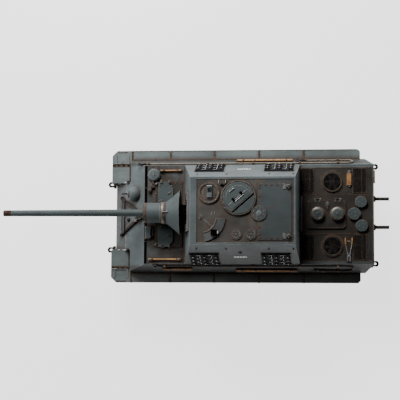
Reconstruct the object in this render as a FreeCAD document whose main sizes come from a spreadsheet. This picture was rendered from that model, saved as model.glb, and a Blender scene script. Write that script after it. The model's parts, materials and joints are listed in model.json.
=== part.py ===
import FreeCAD, Part
import math
import os
import Sketcher
from FreeCAD import Rotation, Vector

os.makedirs("parts", exist_ok=True)
doc = FreeCAD.newDocument("TankDestroyer")
sheet = doc.addObject("Spreadsheet::Sheet", "Sizes")

# Frame: +X towards the muzzle, +Y to the vehicle's left, +Z up, origin on the ground at mid-length.


class Size:
    """A length or angle: its value now, and the sheet expression that gives it."""

    def __init__(self, text, value):
        self.text = text
        self.value = value

    def __add__(self, other):
        other = as_size(other)
        return Size(f"({self.text} + {other.text})", self.value + other.value)

    def __sub__(self, other):
        other = as_size(other)
        return Size(f"({self.text} - {other.text})", self.value - other.value)

    def __mul__(self, other):
        other = as_size(other)
        return Size(f"({self.text} * {other.text})", self.value * other.value)

    def __truediv__(self, other):
        other = as_size(other)
        return Size(f"({self.text} / {other.text})", self.value / other.value)

    def __radd__(self, other):
        return as_size(other) + self

    def __rsub__(self, other):
        return as_size(other) - self

    def __rmul__(self, other):
        return as_size(other) * self

    def __neg__(self):
        return Size(f"(0 - {self.text})", -self.value)

    def __float__(self):
        return float(self.value)


def as_size(value):
    return value if isinstance(value, Size) else Size(f"({float(value)!r})", float(value))


def size(alias, value):
    """Put one driving dimension in the sheet and return it."""
    size.row += 1
    sheet.set(f"A{size.row}", alias)
    sheet.set(f"B{size.row}", str(value))
    sheet.setAlias(f"B{size.row}", alias)
    return Size(f"Sizes.{alias}", value)


size.row = 0

# --- Driving dimensions (mm, degrees) ---
gap = size("running_gap", 0.3)
wall = size("shell_wall", 2.2)
belly_z = size("belly_height", 30)
floor_z = size("sponson_floor_height", 77)
deck_z = size("deck_height", 110)
roof_z = size("casemate_roof_height", 178)
tub_half = size("tub_half_width", 57.5)
floor_half = size("sponson_floor_half_width", 99.8)
roof_half = size("roof_edge_half_width", 57.3)
nose_x = size("nose_front", 148)
nose_z = size("nose_height", 60)
arm_half = size("swing_arm_half_width", 4)
arm_reach = size("swing_arm_reach", 16)
arm_rise = size("swing_arm_rise", 14)
belly_front = size("belly_front", 112)
belly_rear = size("belly_rear", -272)
glacis_top = size("glacis_top", 89)
deck_rear = size("deck_rear", -307)
case_front = size("casemate_front_foot", 19)
case_front_top = size("casemate_front_top", 2)
case_rear = size("casemate_rear_foot", -180.8)
case_rear_top = size("casemate_rear_top", -174.8)
rim_front = size("roof_rim_front", 10.5)
rim_side = size("roof_rim_side", 3.6)
roof_plate = size("roof_plate_thickness", 2.4)
deck_plate = size("deck_plate_thickness", 1.5)

gun_z = size("gun_axis_height", 140)
pivot_x = size("gun_pivot", -12)
muzzle_x = size("muzzle_front", 333)
muzzle_r = size("muzzle_radius", 5.3)
barrel_root_r = size("barrel_root_radius", 6.2)
bore_r = size("bore_radius", 3.6)
sleeve_r = size("mantlet_sleeve_radius", 17.5)
sleeve_front = size("mantlet_sleeve_front", 83.4)
sleeve_step = size("mantlet_sleeve_step", 56.8)
bell_front = size("mantlet_bell_front", 50)
bell_rear = size("mantlet_bell_rear", 22.5)
bell_half = size("mantlet_bell_half_width", 39)
bell_height = size("mantlet_bell_half_height", 25.5)
bell_rise = size("mantlet_bell_rise", 4)
bell_bow = size("mantlet_bell_bow", 1.2)
collar_half = size("gun_collar_half_width", 33)
collar_t = size("gun_collar_thickness", 4)
collar_low = size("gun_collar_bottom", 141)
collar_high = size("gun_collar_top", 171)
neck_r = size("mantlet_neck_radius", 14)

wheel_r = size("road_wheel_radius", 25)
wheel_pitch = size("axle_pitch", 33.1)
wheel_x = size("first_axle", 66)
hub_r = size("wheel_hub_radius", 8)
axle_r = size("axle_radius", 2.5)
final_drive_r = size("final_drive_radius", 12)
idler_mount_r = size("idler_mount_radius", 9)
shoe_t = size("track_thickness", 3.6)
shoe_len = size("track_shoe_length", 8.6)
shoe_pitch = size("track_shoe_pitch", 9.42)
track_clear = size("track_to_tub", 4.5)
track_inset = size("track_to_skirt", 5)
rim_share = size("wheel_rim_share", 0.14)
rim_gap_share = size("wheel_rim_gap_share", 0.12)
row_share = size("wheel_row_inset_share", 0.08)
horn_h = size("guide_horn_height", 6)
sprocket_x = size("sprocket_axle", 119)
sprocket_z = size("sprocket_axle_height", 46)
sprocket_r = size("sprocket_pitch_radius", 27)
idler_x = size("idler_axle", -256)
idler_z = size("idler_axle_height", 42)
idler_r = size("idler_pitch_radius", 22)

skirt_half = size("mudguard_half_width", 117)
guard_front = size("mudguard_front", 153.4)
guard_rear = size("mudguard_rear", 119)
sponson_front = size("sponson_front", 118.5)
guard_in = size("mudguard_inner_edge", 61)
flap_line = size("flap_hinge_line", 92.5)
fender_t = size("fender_thickness", 1.4)
fender_rear = size("fender_rear", -284.5)
hatch_r = size("commander_hatch_radius", 26.5)
ring_r = size("commander_ring_radius", 28.8)
hatch_x = size("commander_hatch_x", -79.8)
hatch_y = size("commander_hatch_y", -21.5)
hatch_turn = size("commander_hatch_turn", 41)
hinge_line = size("commander_hinge_line", 12)
scope_x = size("periscope_x", -30)
scope_y = size("periscope_y", -29.6)
scope_r = size("periscope_ring_radius", 18)
sight_x = size("sight_cover_pivot_x", -16)
sight_y = size("sight_cover_pivot_y", 10.8)
sight_in = size("sight_cover_inner_radius", 25.4)
sight_out = size("sight_cover_outer_radius", 42)
engine_hatch_gap = size("casemate_to_engine_hatch", 12.2)
engine_hatch_behind = size("engine_hatch_to_deck_rear", 48)
engine_hatch_half = size("engine_hatch_half_width", 25)
fan_ahead = size("fan_ahead_of_deck_middle", 7.9)
fan_out = size("fan_out_of_deck_middle", 3)
fan_r = size("fan_radius", 16.8)
cable_r = size("tow_cable_radius", 1.3)
shackle_x = size("front_shackle_pin_x", 151)
shackle_pin_r = size("shackle_pin_radius", 1.4)
rear_eye_x = size("rear_shackle_pin_x", -303)
rear_eye_y = size("rear_shackle_pin_y", 84)
rear_eye_z = size("rear_shackle_pin_height", 88)
shackle_half = size("shackle_half_width", 3.6)
trunnion_r = size("trunnion_radius", 3)
bow_gun_r = size("bow_gun_radius", 1.4)
lock_x = size("travel_lock_hinge_x", 137)
lock_z = size("travel_lock_hinge_height", 72.8)
lock_half = size("travel_lock_half_width", 33)
engine_cap_r = size("engine_hatch_cap_radius", 11)
grille_bars = size("grille_bar_pitch", 3.1)
pipe_r = size("exhaust_radius", 3)
pipe_tip = size("exhaust_tip", -333)
pipe_left = size("left_exhaust_y", 22)
pipe_right = size("right_exhaust_y", -27)
lock_len = size("travel_lock_length", 50)
battery_front = size("battery_hatch_front", -24)
battery_rear = size("battery_hatch_rear", -124)
battery_half = size("battery_hatch_half_width", 28)
gun_port_half = size("gun_port_half_width", 21)
engine_deck_half = size("engine_deck_half_width", 81)
hatch_ahead = size("crew_hatch_front", 65)
hatch_back = size("crew_hatch_rear", 39.6)
hatch_in = size("crew_hatch_inner_edge", 18.5)
hatch_out = size("crew_hatch_outer_edge", 56)
bow_x = size("bow_gun_x", 118)
bow_y = size("bow_gun_y", -38)
bow_z = size("bow_gun_height", 96)
ball_r = size("bow_gun_ball_radius", 6)
bulge_r = size("bow_gun_bulge_radius", 14)
vent_x = size("ventilator_x", 73)
vent_y = size("ventilator_y", -69)
vent_r = size("ventilator_radius", 11)
small_cap_r = size("roof_cap_radius", 9.4)
rear_plate_front = size("rear_roof_plate_front", -111.3)
rear_plate_back = size("rear_roof_plate_rear", -168)
rear_plate_left = size("rear_roof_plate_left", 49)
rear_plate_right = size("rear_roof_plate_right", 46)
rod_r = size("cleaning_rod_radius", 1.5)

# Derived sizes
wheel_z = shoe_t + gap + wheel_r
side_slope = (floor_half - roof_half) / (roof_z - floor_z)
glacis_slope = (nose_x - glacis_top) / (deck_z - nose_z)
glacis_foot = nose_x - glacis_slope * (floor_z - nose_z)
rear_slope = (belly_rear - deck_rear) / (deck_z - belly_z)
rear_foot = belly_rear - rear_slope * (floor_z - belly_z)
roof_seat = roof_z - 1
track_in = tub_half + track_clear
track_out = skirt_half - track_inset
track_width = track_out - track_in
rim_width = track_width * rim_share
rim_gap = track_width * rim_gap_share
inner_row = track_in + track_width * row_share
outer_row = track_out - 2 * rim_width - rim_gap - track_width * row_share * 0.75
engine_hatch_front = case_rear - engine_hatch_gap
engine_hatch_rear = deck_rear + engine_hatch_behind
engine_hatch_len = engine_hatch_front - engine_hatch_rear
fan_x = (case_rear + deck_rear) / 2 + fan_ahead
fan_y = (engine_hatch_half + engine_deck_half) / 2 + fan_out


def side_at(height):
    """Half width of the sloped side at a height."""
    return floor_half - side_slope * (height - floor_z)


# --- Ways of making a piece ---
nodes = []
ORIGIN = (0, 0, 0)


def bind(item, name, value):
    item.setExpression(name, as_size(value).text)


def place(item, at, axis="z", angle=0):
    """Stand an object at a point, with its own Z along the axis, turned by an angle about it."""
    turns = {"z": (0, 0, 1, 0), "x": (0, 1, 0, 90), "y": (1, 0, 0, -90)}
    x, y, z, degrees = turns[axis]
    turn = Rotation(Vector(x, y, z), degrees) * Rotation(Vector(0, 0, 1), angle)
    item.Placement = FreeCAD.Placement(Vector(*[float(v) for v in at]), turn)
    for name, value in zip("xyz", at):
        bind(item, f"Placement.Base.{name}", value)
    return item


def box(name, low, high):
    item = doc.addObject("Part::Box", name)
    for side, first, last in zip(("Length", "Width", "Height"), low, high):
        bind(item, side, last - first)
    return place(item, low)


def cylinder(name, radius, height, at, axis="z"):
    item = doc.addObject("Part::Cylinder", name)
    bind(item, "Radius", radius)
    bind(item, "Height", height)
    return place(item, at, axis)


def cone(name, radius, top_radius, height, at, axis="z"):
    item = doc.addObject("Part::Cone", name)
    bind(item, "Radius1", radius)
    bind(item, "Radius2", top_radius)
    bind(item, "Height", height)
    return place(item, at, axis)


def sketch(body, name, plane, points):
    """A closed outline whose corners are bound to the sheet."""
    drawn = body.newObject("Sketcher::SketchObject", name + "_outline")
    base = [item for item in body.Origin.OriginFeatures if item.Role == plane][0]
    drawn.AttachmentSupport = [(base, "")]
    drawn.MapMode = "FlatFace"
    count = len(points)
    corners = [Vector(float(u), float(v), 0) for u, v in points]
    for i in range(count):
        drawn.addGeometry(Part.LineSegment(corners[i], corners[(i + 1) % count]))
    for i in range(count):
        drawn.addConstraint(Sketcher.Constraint("Coincident", i, 2, (i + 1) % count, 1))
    for i, corner in enumerate(points):
        for kind, value in zip(("DistanceX", "DistanceY"), corner):
            k = drawn.addConstraint(Sketcher.Constraint(kind, -1, 1, i, 1, float(value)))
            drawn.setExpression(f"Constraints[{k}]", as_size(value).text)
    return drawn


def prism(name, plane, points, low, high):
    """An outline on a plane, padded from low to high along the plane's normal axis."""
    body = doc.addObject("PartDesign::Body", name)
    drawn = sketch(body, name, plane, points)
    pad = body.newObject("PartDesign::Pad", name + "_pad")
    pad.Profile = drawn
    bind(pad, "Length", high - low)
    if plane == "XZ_Plane":
        pad.Reversed = True
    shift = {"XY_Plane": (0, 0, low), "XZ_Plane": (0, low, 0), "YZ_Plane": (low, 0, 0)}[plane]
    for axis, value in zip("xyz", shift):
        bind(body, f"Placement.Base.{axis}", value)
    return body


def spin(name, points, at, axis="z"):
    """A profile of (radius, height) corners turned about its own axis."""
    body = doc.addObject("PartDesign::Body", name)
    drawn = sketch(body, name, "XZ_Plane", points)
    turned = body.newObject("PartDesign::Revolution", name + "_turned")
    turned.Profile = drawn
    turned.ReferenceAxis = (drawn, ["V_Axis"])
    turned.Angle = 360
    return place(body, at, axis)


def cut(name, base, *tools):
    tool = tools[0] if len(tools) == 1 else fuse(name + "_tools", *tools)
    item = doc.addObject("Part::Cut", name)
    item.Base = base
    item.Tool = tool
    return item


def fuse(name, *pieces):
    item = doc.addObject("Part::MultiFuse", name)
    item.Shapes = list(pieces)
    item.Refine = True
    return item


def common(name, *pieces):
    item = doc.addObject("Part::MultiCommon", name)
    item.Shapes = list(pieces)
    return item


def group(name, *pieces):
    item = doc.addObject("Part::Compound", name)
    item.Links = list(pieces)
    return item


def mirror(name, source):
    """The same piece on the other side of the vehicle."""
    item = doc.addObject("Part::Mirroring", name)
    item.Source = source
    item.Base = Vector(*ORIGIN)
    item.Normal = Vector(0, 1, 0)
    return item


def both(name, source):
    return group(name, source, mirror(name + "_mirrored", source))


def feature(name, shape):
    item = doc.addObject("Part::Feature", name)
    item.Shape = shape
    return item


def node(item, label):
    item.Label = label
    nodes.append(item)
    return item


# --- Hulls ---
def lower_hull():
    """Open tub with sloped nose and tail, towing plates in front and a ledge for the belly hatch."""
    outline = [(belly_rear, belly_z), (belly_front, belly_z), (nose_x, nose_z),
               (glacis_foot, floor_z), (rear_foot, floor_z)]
    inside = [(belly_rear + wall, belly_z + wall), (belly_front - wall, belly_z + wall),
              (nose_x - 2 * wall, nose_z), (glacis_foot - wall, floor_z + wall),
              (rear_foot + wall, floor_z + wall)]
    tub = prism("tub", "XZ_Plane", outline, -tub_half, tub_half)
    hollow = prism("tub_hollow", "XZ_Plane", inside, wall - tub_half, tub_half - wall)
    plate_rear = sprocket_x + final_drive_r + gap
    plate = prism("towing_plate", "XZ_Plane",
                  [(plate_rear, nose_z - 10), (nose_x - 10, nose_z - 14), (shackle_x + 3, nose_z - 4),
                   (shackle_x + 3, nose_z + 4), (nose_x - 10, nose_z + 9), (plate_rear, floor_z - 4)],
                  tub_half - 0.5, tub_half + 2.5)
    eye = cylinder("towing_plate_eye", shackle_pin_r + gap, 5, (shackle_x, tub_half - 1, nose_z), "y")
    side = cut("eyed_plate", plate, eye)
    hatch_hole = box("battery_opening", (battery_rear, -battery_half, belly_z - 1),
                     (battery_front, battery_half, belly_z + wall + 1))
    shell = cut("open_tub", tub, hollow, hatch_hole)
    lugs = cut("hatch_ledge", box("hatch_ledge_plate",
                                  (battery_rear - 4, -battery_half - 4, belly_z + wall),
                                  (battery_front + 4, battery_half + 4, belly_z + wall + 1.5)),
               box("hatch_ledge_hole", (battery_rear + 4, 4 - battery_half, belly_z),
                   (battery_front - 4, battery_half - 4, belly_z + wall + 2)))
    return fuse("lower_hull_solid", shell, side, mirror("eyed_plate_right", side), lugs)


def suspension():
    """Swing arms with their stub axles, final drives and idler mounts, flush on the tub's sides."""
    axle_len = outer_row + rim_width - tub_half
    units = []
    for i in range(9):
        x = wheel_x - wheel_pitch * i
        axle = cylinder(f"stub_axle_{i}", axle_r, axle_len, (x, tub_half, wheel_z), "y")
        arm = prism(f"swing_arm_{i}", "XZ_Plane",
                    [(x - arm_half, wheel_z - arm_half + 1), (x + arm_half, wheel_z - arm_half + 1),
                     (x + arm_reach, wheel_z + arm_rise - arm_half),
                     (x + arm_reach - 2 * arm_half, wheel_z + arm_rise),
                     (x - arm_half, wheel_z + arm_half - 1)], tub_half, inner_row - 2 * gap - 2)
        units.append(fuse(f"swing_unit_{i}", arm, axle))
    for name, x, z, boss_r in (("final_drive", sprocket_x, sprocket_z, final_drive_r),
                               ("idler_mount", idler_x, idler_z, idler_mount_r)):
        boss = cylinder(name + "_boss", boss_r, inner_row - 4 - tub_half, (x, tub_half, z), "y")
        axle = cylinder(name + "_axle", axle_r, axle_len, (x, tub_half, z), "y")
        units.append(fuse(name, boss, axle))
    return both("suspension_units", group("suspension_left", *units))


def sloped_block(name, outline, inset, low):
    """A side outline cut to the hull's sloped cross-section, inset from its faces."""
    across = [(inset - floor_half, low), (floor_half - inset, low),
              (side_at(roof_z + 1) - inset, roof_z + 1), (inset - side_at(roof_z + 1), roof_z + 1)]
    return common(name, prism(name + "_along", "XZ_Plane", outline, -floor_half, floor_half),
                  prism(name + "_across", "YZ_Plane", across, deck_rear - 5, nose_x))


def upper_hull():
    """Sponsons, glacis and casemate walls as one thin shell, open below and at the roof and decks."""
    outline = [(glacis_foot, floor_z), (glacis_top, deck_z), (case_front, deck_z), (case_front_top, roof_z),
               (case_rear_top, roof_z), (case_rear, deck_z), (deck_rear, deck_z), (rear_foot, floor_z)]
    inside = [(glacis_foot - 1.6 * wall, floor_z + wall), (glacis_top - wall, deck_z - wall),
              (case_front - wall, deck_z - wall), (case_front_top - wall, roof_z - wall),
              (case_rear_top + wall, roof_z - wall), (case_rear + wall, deck_z - wall),
              (deck_rear + wall, deck_z - wall), (rear_foot + wall, floor_z + wall)]
    shell = sloped_block("hull_block", outline, as_size(0), floor_z)
    hollow = sloped_block("hull_hollow", inside, wall, floor_z)
    through = box("floor_opening", (rear_foot + 2 * wall, wall - tub_half, floor_z - 1),
                  (glacis_foot - 4 * wall, tub_half - wall, floor_z + wall + 1))
    roof_hole = box("roof_opening", (case_rear_top + wall + 2, rim_side + 3 - roof_half, roof_z - 8),
                    (case_front_top - rim_front - 3, roof_half - rim_side - 3, roof_z + 1))
    roof_recess = box("roof_recess", (case_rear_top + wall, rim_side - roof_half, roof_seat - roof_plate),
                      (case_front_top - rim_front, roof_half - rim_side, roof_z + 1))
    gun_port = box("gun_port", (case_front_top - 3 * wall, -gun_port_half, gun_z - 19),
                   (case_front + 5, gun_port_half, gun_z + 24))
    engine_well = box("engine_deck_opening", (deck_rear + 4, 4 - engine_deck_half, deck_z - 5),
                      (case_rear - 4, engine_deck_half - 4, deck_z + 1))
    engine_seat = box("engine_deck_seat", (deck_rear + 1.5, -engine_deck_half, deck_z - deck_plate),
                      (case_rear, engine_deck_half, deck_z + 1))
    wells = [box(f"crew_well_{i}", (hatch_back + 3, low, deck_z - 5),
                 (hatch_ahead - 3, low + 26, deck_z + 1))
             for i, low in enumerate((hatch_in + 3, -hatch_in - 29))]
    socket = cylinder("bow_gun_hole", ball_r + gap, 50, (bow_x - 25, bow_y, bow_z), "x")
    bulge = common("bow_gun_bulge", doc.addObject("Part::Sphere", "bulge_ball"),
                   prism("bulge_side", "XZ_Plane",
                         [(glacis_top - wall, deck_z), (nose_x, nose_z), (nose_x, deck_z + 14),
                          (glacis_top - wall, deck_z + 14)], bow_y - 20, bow_y + 20))
    ball = doc.getObject("bulge_ball")
    bind(ball, "Radius", bulge_r)
    place(ball, (bow_x - 9, bow_y, bow_z - 3))
    cap = spin("ventilator_dome", [(0, -0.5), (vent_r - 2, -0.5), (vent_r - 2, 2), (vent_r, 2), (vent_r, 5),
                                   (vent_r - 2.5, 7), (0, 7.6)], (vent_x, vent_y, deck_z))
    slope = (case_front - case_front_top) / (roof_z - deck_z)
    collar = prism("gun_collar", "XZ_Plane",
                   [(case_front - slope * (collar_low - deck_z) - wall, collar_low),
                    (case_front - slope * (collar_low - deck_z) + collar_t, collar_low),
                    (case_front - slope * (collar_high - deck_z) + collar_t, collar_high),
                    (case_front - slope * (collar_high - deck_z) - wall, collar_high)],
                   -collar_half, collar_half)
    arm = prism("ventilator_arm", "XY_Plane",
                [(vent_x + 9, vent_y + 2), (vent_x + 11, vent_y + 25), (vent_x + 5, vent_y + 27),
                 (vent_x, vent_y + 9)], deck_z - 0.5, deck_z + 2)
    body = fuse("hull_solid", shell, bulge, cap, arm, collar)
    shell = cut("upper_hull_shell", body, hollow, through, roof_hole, roof_recess, gun_port, engine_well,
                engine_seat, *wells, socket)
    ahead = box("nose_clearance", (sponson_front, guard_in - gap, floor_z - 1),
                (nose_x, floor_half + 1, deck_z))
    front = common("sponson_front", sloped_block("front_block", outline, as_size(0), floor_z),
                   box("sponson_front_slab", (sponson_front - wall, tub_half - wall, floor_z),
                       (sponson_front, floor_half, deck_z)))
    lug = cut("rear_towing_lug",
              prism("rear_lug_blank", "XZ_Plane",
                    [(rear_eye_x + 14, rear_eye_z - 6), (rear_eye_x - 2.5, rear_eye_z - 2.5),
                     (rear_eye_x - 2.5, rear_eye_z + 2.5), (rear_eye_x + 10, rear_eye_z + 8)],
                    rear_eye_y - 1.5, rear_eye_y + 1.5),
              cylinder("rear_lug_hole", shackle_pin_r + gap, 5,
                       (rear_eye_x, rear_eye_y - 2, rear_eye_z), "y"),
              common("rear_lug_inside", sloped_block("rear_lug_hull", outline, as_size(0.5), floor_z)))
    open_hull = cut("upper_hull_open", shell, ahead, mirror("nose_clearance_right", ahead))
    return fuse("upper_hull_solid", open_hull,
                front, mirror("sponson_front_right", front), lug, mirror("rear_towing_lug_right", lug))


def casemate_roof():
    """Roof plate in its recess, with the bolted rear plate and its lifting eyes."""
    low = (case_rear_top + wall + gap, rim_side + gap - roof_half, roof_seat - roof_plate)
    high = (case_front_top - rim_front - gap, roof_half - rim_side - gap, roof_seat)
    holes = [cylinder("ring_hole", ring_r + gap, 2 * roof_plate, (hatch_x, hatch_y, roof_seat - 4)),
             cylinder("scope_hole", scope_r - 4 + gap, 2 * roof_plate, (scope_x, scope_y, roof_seat - 4))]
    plate = cut("roof_panel", box("roof_panel_blank", low, high), *holes)
    rear = box("rear_roof_panel", (rear_plate_back, -rear_plate_right, roof_seat),
               (rear_plate_front, rear_plate_left, roof_seat + 1.3))
    eyes = []
    for i, y in enumerate((rear_plate_left - 6, 6 - rear_plate_right)):
        lug = cylinder(f"lifting_lug_{i}", 4, 2, (rear_plate_back + 5, y - 1, roof_seat + 3), "y")
        hole = cylinder(f"lifting_hole_{i}", 1.8, 4, (rear_plate_back + 5, y - 2, roof_seat + 3.6), "y")
        clip = box(f"lug_base_{i}", (rear_plate_back, y - 1, roof_seat),
                   (rear_plate_back + 10, y + 1, roof_seat + 2))
        eyes.append(cut(f"lifting_eye_{i}", fuse(f"lifting_blank_{i}", lug, clip),
                        hole, box(f"lug_floor_{i}", (rear_plate_back, y - 2, roof_seat - 4),
                                  (rear_plate_back + 10, y + 2, roof_seat + 0.5))))
    caps = [cylinder(f"roof_cap_{i}", small_cap_r, 1.6, (x, y, roof_seat))
            for i, (x, y) in enumerate(((-76, 39.5), (-101, 39.6)))]
    defence = cut("close_defence", cylinder("defence_boss", 12.7, 3.2, (-114, 4.5, roof_seat)),
                  cylinder("defence_well", 6.2, 3, (-114, 4.5, roof_seat + 1.6)))
    latch = box("scope_latch", (-56, -50, roof_seat), (-48, -44, roof_seat + 3))
    sight_pin = cylinder("sight_pin", 2, 2.2, (sight_x, sight_y, roof_seat))
    return fuse("casemate_roof_solid", plate, rear, *eyes, *caps, defence, latch, sight_pin)


# --- Gun ---
def ellipse_wire(x, half_width, half_height, rise):
    """An upright ellipse across the gun's axis, a little above it."""
    curve = Part.Ellipse(Vector(0, 0, 0), float(half_width), float(half_height))
    wire = Part.Wire([curve.toShape()])
    wire.rotate(Vector(0, 0, 0), Vector(0, 0, 1), 90)
    wire.rotate(Vector(0, 0, 0), Vector(0, 1, 0), 90)
    wire.translate(Vector(float(x), 0, float(gun_z) + float(rise)))
    return wire


def gun_turntable():
    """Yoke inside the casemate that turns on a floor pin and carries the trunnions."""
    column = cylinder("turntable_column", 7, gun_z - 34 - (belly_z + wall + gap),
                      (pivot_x, 0, belly_z + wall + gap))
    disc = cylinder("turntable_disc", 26, 4, (pivot_x, 0, gun_z - 34))
    cheek = prism("turntable_cheek", "XZ_Plane",
                  [(pivot_x - 14, gun_z - 34), (pivot_x + 14, gun_z - 34), (pivot_x + 6, gun_z + 6),
                   (pivot_x - 6, gun_z + 6)], neck_r + 3, neck_r + 6)
    hole = cylinder("trunnion_hole", trunnion_r + 0.1, 60, (pivot_x, -30, gun_z), "y")
    return cut("gun_turntable_solid",
               fuse("turntable_blank", column, disc, cheek, mirror("turntable_cheek_right", cheek)), hole)


def gun_mantlet():
    """Flared bell, stepped sleeve and the neck that carries the recoil cradle and trunnions."""
    profile = [ellipse_wire(bell_front, sleeve_r, sleeve_r, 0),
               ellipse_wire((bell_front + bell_rear) / 2, (sleeve_r + bell_half) / 2 - bell_bow,
                            (sleeve_r + bell_height) / 2, bell_rise / 2),
               ellipse_wire(bell_rear, bell_half, bell_height, bell_rise)]
    bell = feature("mantlet_bell", Part.makeLoft(profile, True, False))
    turned = [(0, pivot_x - 15), (neck_r, pivot_x - 15), (neck_r, bell_rear + 1), (sleeve_r, bell_rear + 1),
              (sleeve_r, bell_front), (sleeve_r + 2, bell_front + 1), (sleeve_r + 2, bell_front + 4),
              (sleeve_r - 1.5, sleeve_step), (sleeve_r, sleeve_step + 1), (sleeve_r, sleeve_front),
              (sleeve_r - 4, sleeve_front + 3), (0, sleeve_front + 3)]
    sleeve = spin("mantlet_sleeve", turned, (0, 0, gun_z), "x")
    trunnions = cylinder("trunnions", trunnion_r, 2 * neck_r + 14, (pivot_x, -neck_r - 7, gun_z), "y")
    eye = cylinder("mantlet_eye_bolt", 2, bell_rise + 3, (bell_front - 6, 0, gun_z + sleeve_r - 1))
    bore = cylinder("cradle_bore", barrel_root_r + gap, 200, (pivot_x - 40, 0, gun_z), "x")
    return cut("gun_mantlet_solid", fuse("mantlet_blank", bell, sleeve, trunnions, eye), bore)


def gun_barrel():
    """Long tapered barrel with a collar, sliding in the cradle when it recoils."""
    rear = pivot_x - 15 - gap
    profile = [(0, rear - 12), (barrel_root_r + 3, rear - 12), (barrel_root_r + 3, rear),
               (barrel_root_r, rear), (barrel_root_r, sleeve_front + 12), (muzzle_r, muzzle_x - 2),
               (muzzle_r - 0.5, muzzle_x), (bore_r, muzzle_x), (bore_r, muzzle_x - 40),
               (0, muzzle_x - 40)]
    return spin("gun_barrel_body", profile, (0, 0, gun_z), "x")


def bow_gun_ball():
    """Ball in the glacis with an upright slot for its gun."""
    ball = doc.addObject("Part::Sphere", "bow_ball")
    bind(ball, "Radius", ball_r)
    place(ball, (bow_x, bow_y, bow_z), "z", 90)
    slot = box("bow_ball_slot", (bow_x - 7, bow_y - bow_gun_r - gap, bow_z - 4),
               (bow_x + 8, bow_y + bow_gun_r + gap, bow_z + 5))
    return cut("bow_gun_ball_solid", ball, slot)


def bow_gun_barrel():
    """Machine gun that tips in the ball's slot."""
    profile = [(0, -4), (bow_gun_r, -4), (bow_gun_r, 10), (bow_gun_r - 0.4, 15.5), (0, 15.5)]
    return spin("bow_gun_body", profile, (bow_x, bow_y, bow_z), "x")


def travel_lock():
    """A-frame folded on the glacis, hinged at two feet, with the clamp that takes the barrel."""
    lie = math.degrees(math.atan2(1, float(glacis_slope)))
    legs = prism("lock_leg", "XY_Plane", [(0, lock_half - 2), (0, lock_half + 2), (4, lock_half + 2),
                                          (lock_len, 5), (lock_len, 0), (lock_len - 4, 0),
                                          (lock_len - 5, 3), (4, lock_half - 3)], -1.2, 1.2)
    clamp = cut("lock_clamp", cylinder("lock_ring", 9, 5, (lock_len, 0, -1.2)),
                cylinder("lock_ring_hole", 6.8, 8, (lock_len + 2, 0, -2)),
                box("lock_ring_mouth", (lock_len + 2, -6, -2), (lock_len + 12, 6, 6)))
    barrel = cylinder("lock_hinge_barrel", 2.2, 2 * lock_half + 6, (0, -lock_half - 3, 0), "y")
    frame = fuse("travel_lock_solid", legs, mirror("lock_leg_right", legs), clamp, barrel)
    frame.Placement = FreeCAD.Placement(Vector(float(lock_x), 0, float(lock_z)),
                                        Rotation(Vector(0, 1, 0), lie) * Rotation(Vector(0, 0, 1), 180))
    bind(frame, "Placement.Base.x", lock_x)
    bind(frame, "Placement.Base.z", lock_z)
    return frame


# --- Front and rear fittings ---
def shackle(name, pin_x, pin_y, pin_z, turn, reach):
    """U-shaped shackle and its pin; the bow points forward or rearward."""
    outer = cut(name + "_bow", cylinder(name + "_disc", shackle_half + 1.2, 3, (reach, 0, -1.5)),
                cylinder(name + "_eye", shackle_half - 1.8, 5, (reach, 0, -2.5)),
                box(name + "_back", (reach - 12, -9, -3), (reach, 9, 3)))
    leg = box(name + "_leg", (-2.5, shackle_half - 1.8, -1.5), (reach + 0.1, shackle_half + 1.2, 1.5))
    pin = cylinder(name + "_pin", shackle_pin_r, 2 * shackle_half + 1, (0, -shackle_half - 0.5, 0), "y")
    item = fuse(name, outer, leg, mirror(name + "_leg_right", leg), pin)
    return place(item, (pin_x, pin_y, pin_z), "z", turn)


def crew_hatch(name, side):
    """Five-sided lid with a raised rim, its hinge lug outboard and a latch knob."""
    low = deck_z + deck_plate + gap
    outline = [(hatch_ahead, hatch_in), (hatch_ahead, hatch_out), (hatch_back + 9, hatch_out),
               (hatch_back, hatch_out - 10), (hatch_back, hatch_in)]
    lid = prism(name + "_lid", "XY_Plane", outline, low, low + 2.2)
    lug = box(name + "_lug", (hatch_back + 14, hatch_out - 1, low),
              (hatch_ahead - 6, hatch_out + 2, low + 2))
    knob = cylinder(name + "_knob", 1.8, 1.6, (hatch_ahead - 5, hatch_in + 5, low + 2.1))
    lid = fuse(name + "_solid", lid, lug, knob)
    return lid if side > 0 else mirror(name + "_right", lid)


def front_deck_plate():
    """Removable plate over the drive compartment, with the driver's periscope hood."""
    low = hatch_back - 16
    side = hatch_out + 1
    outline = [(low, -side), (hatch_ahead + 1, -side), (hatch_ahead + 6, 5 - side),
               (hatch_ahead + 6, side - 5), (hatch_ahead + 1, side), (low, side)]
    plate = prism("front_plate", "XY_Plane", outline, deck_z, deck_z + deck_plate)
    wells = [box(f"plate_well_{i}", (hatch_back + 3, y, deck_z - 1), (hatch_ahead - 3, y + 26, deck_z + 4))
             for i, y in enumerate((hatch_in + 3, -hatch_in - 29))]
    hood = prism("driver_hood", "XZ_Plane", [(76.6, deck_z), (90.2, deck_z - 1), (86, deck_z + 4.5),
                                             (79, deck_z + 4.5)], 20, 43)
    hood = cut("driver_hood_cut", hood, box("hood_floor", (70, 10, deck_z - 6), (95, 50, deck_z)))
    return group("front_deck_plate_solids", cut("front_plate_cut", plate, *wells), hood)


# --- Mudguards and fenders ---
fender_joints = [guard_rear, size("fender_joint_1", 49), size("fender_joint_2", -29),
                 size("fender_joint_3", -108), size("fender_joint_4", -186), fender_rear]


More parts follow.
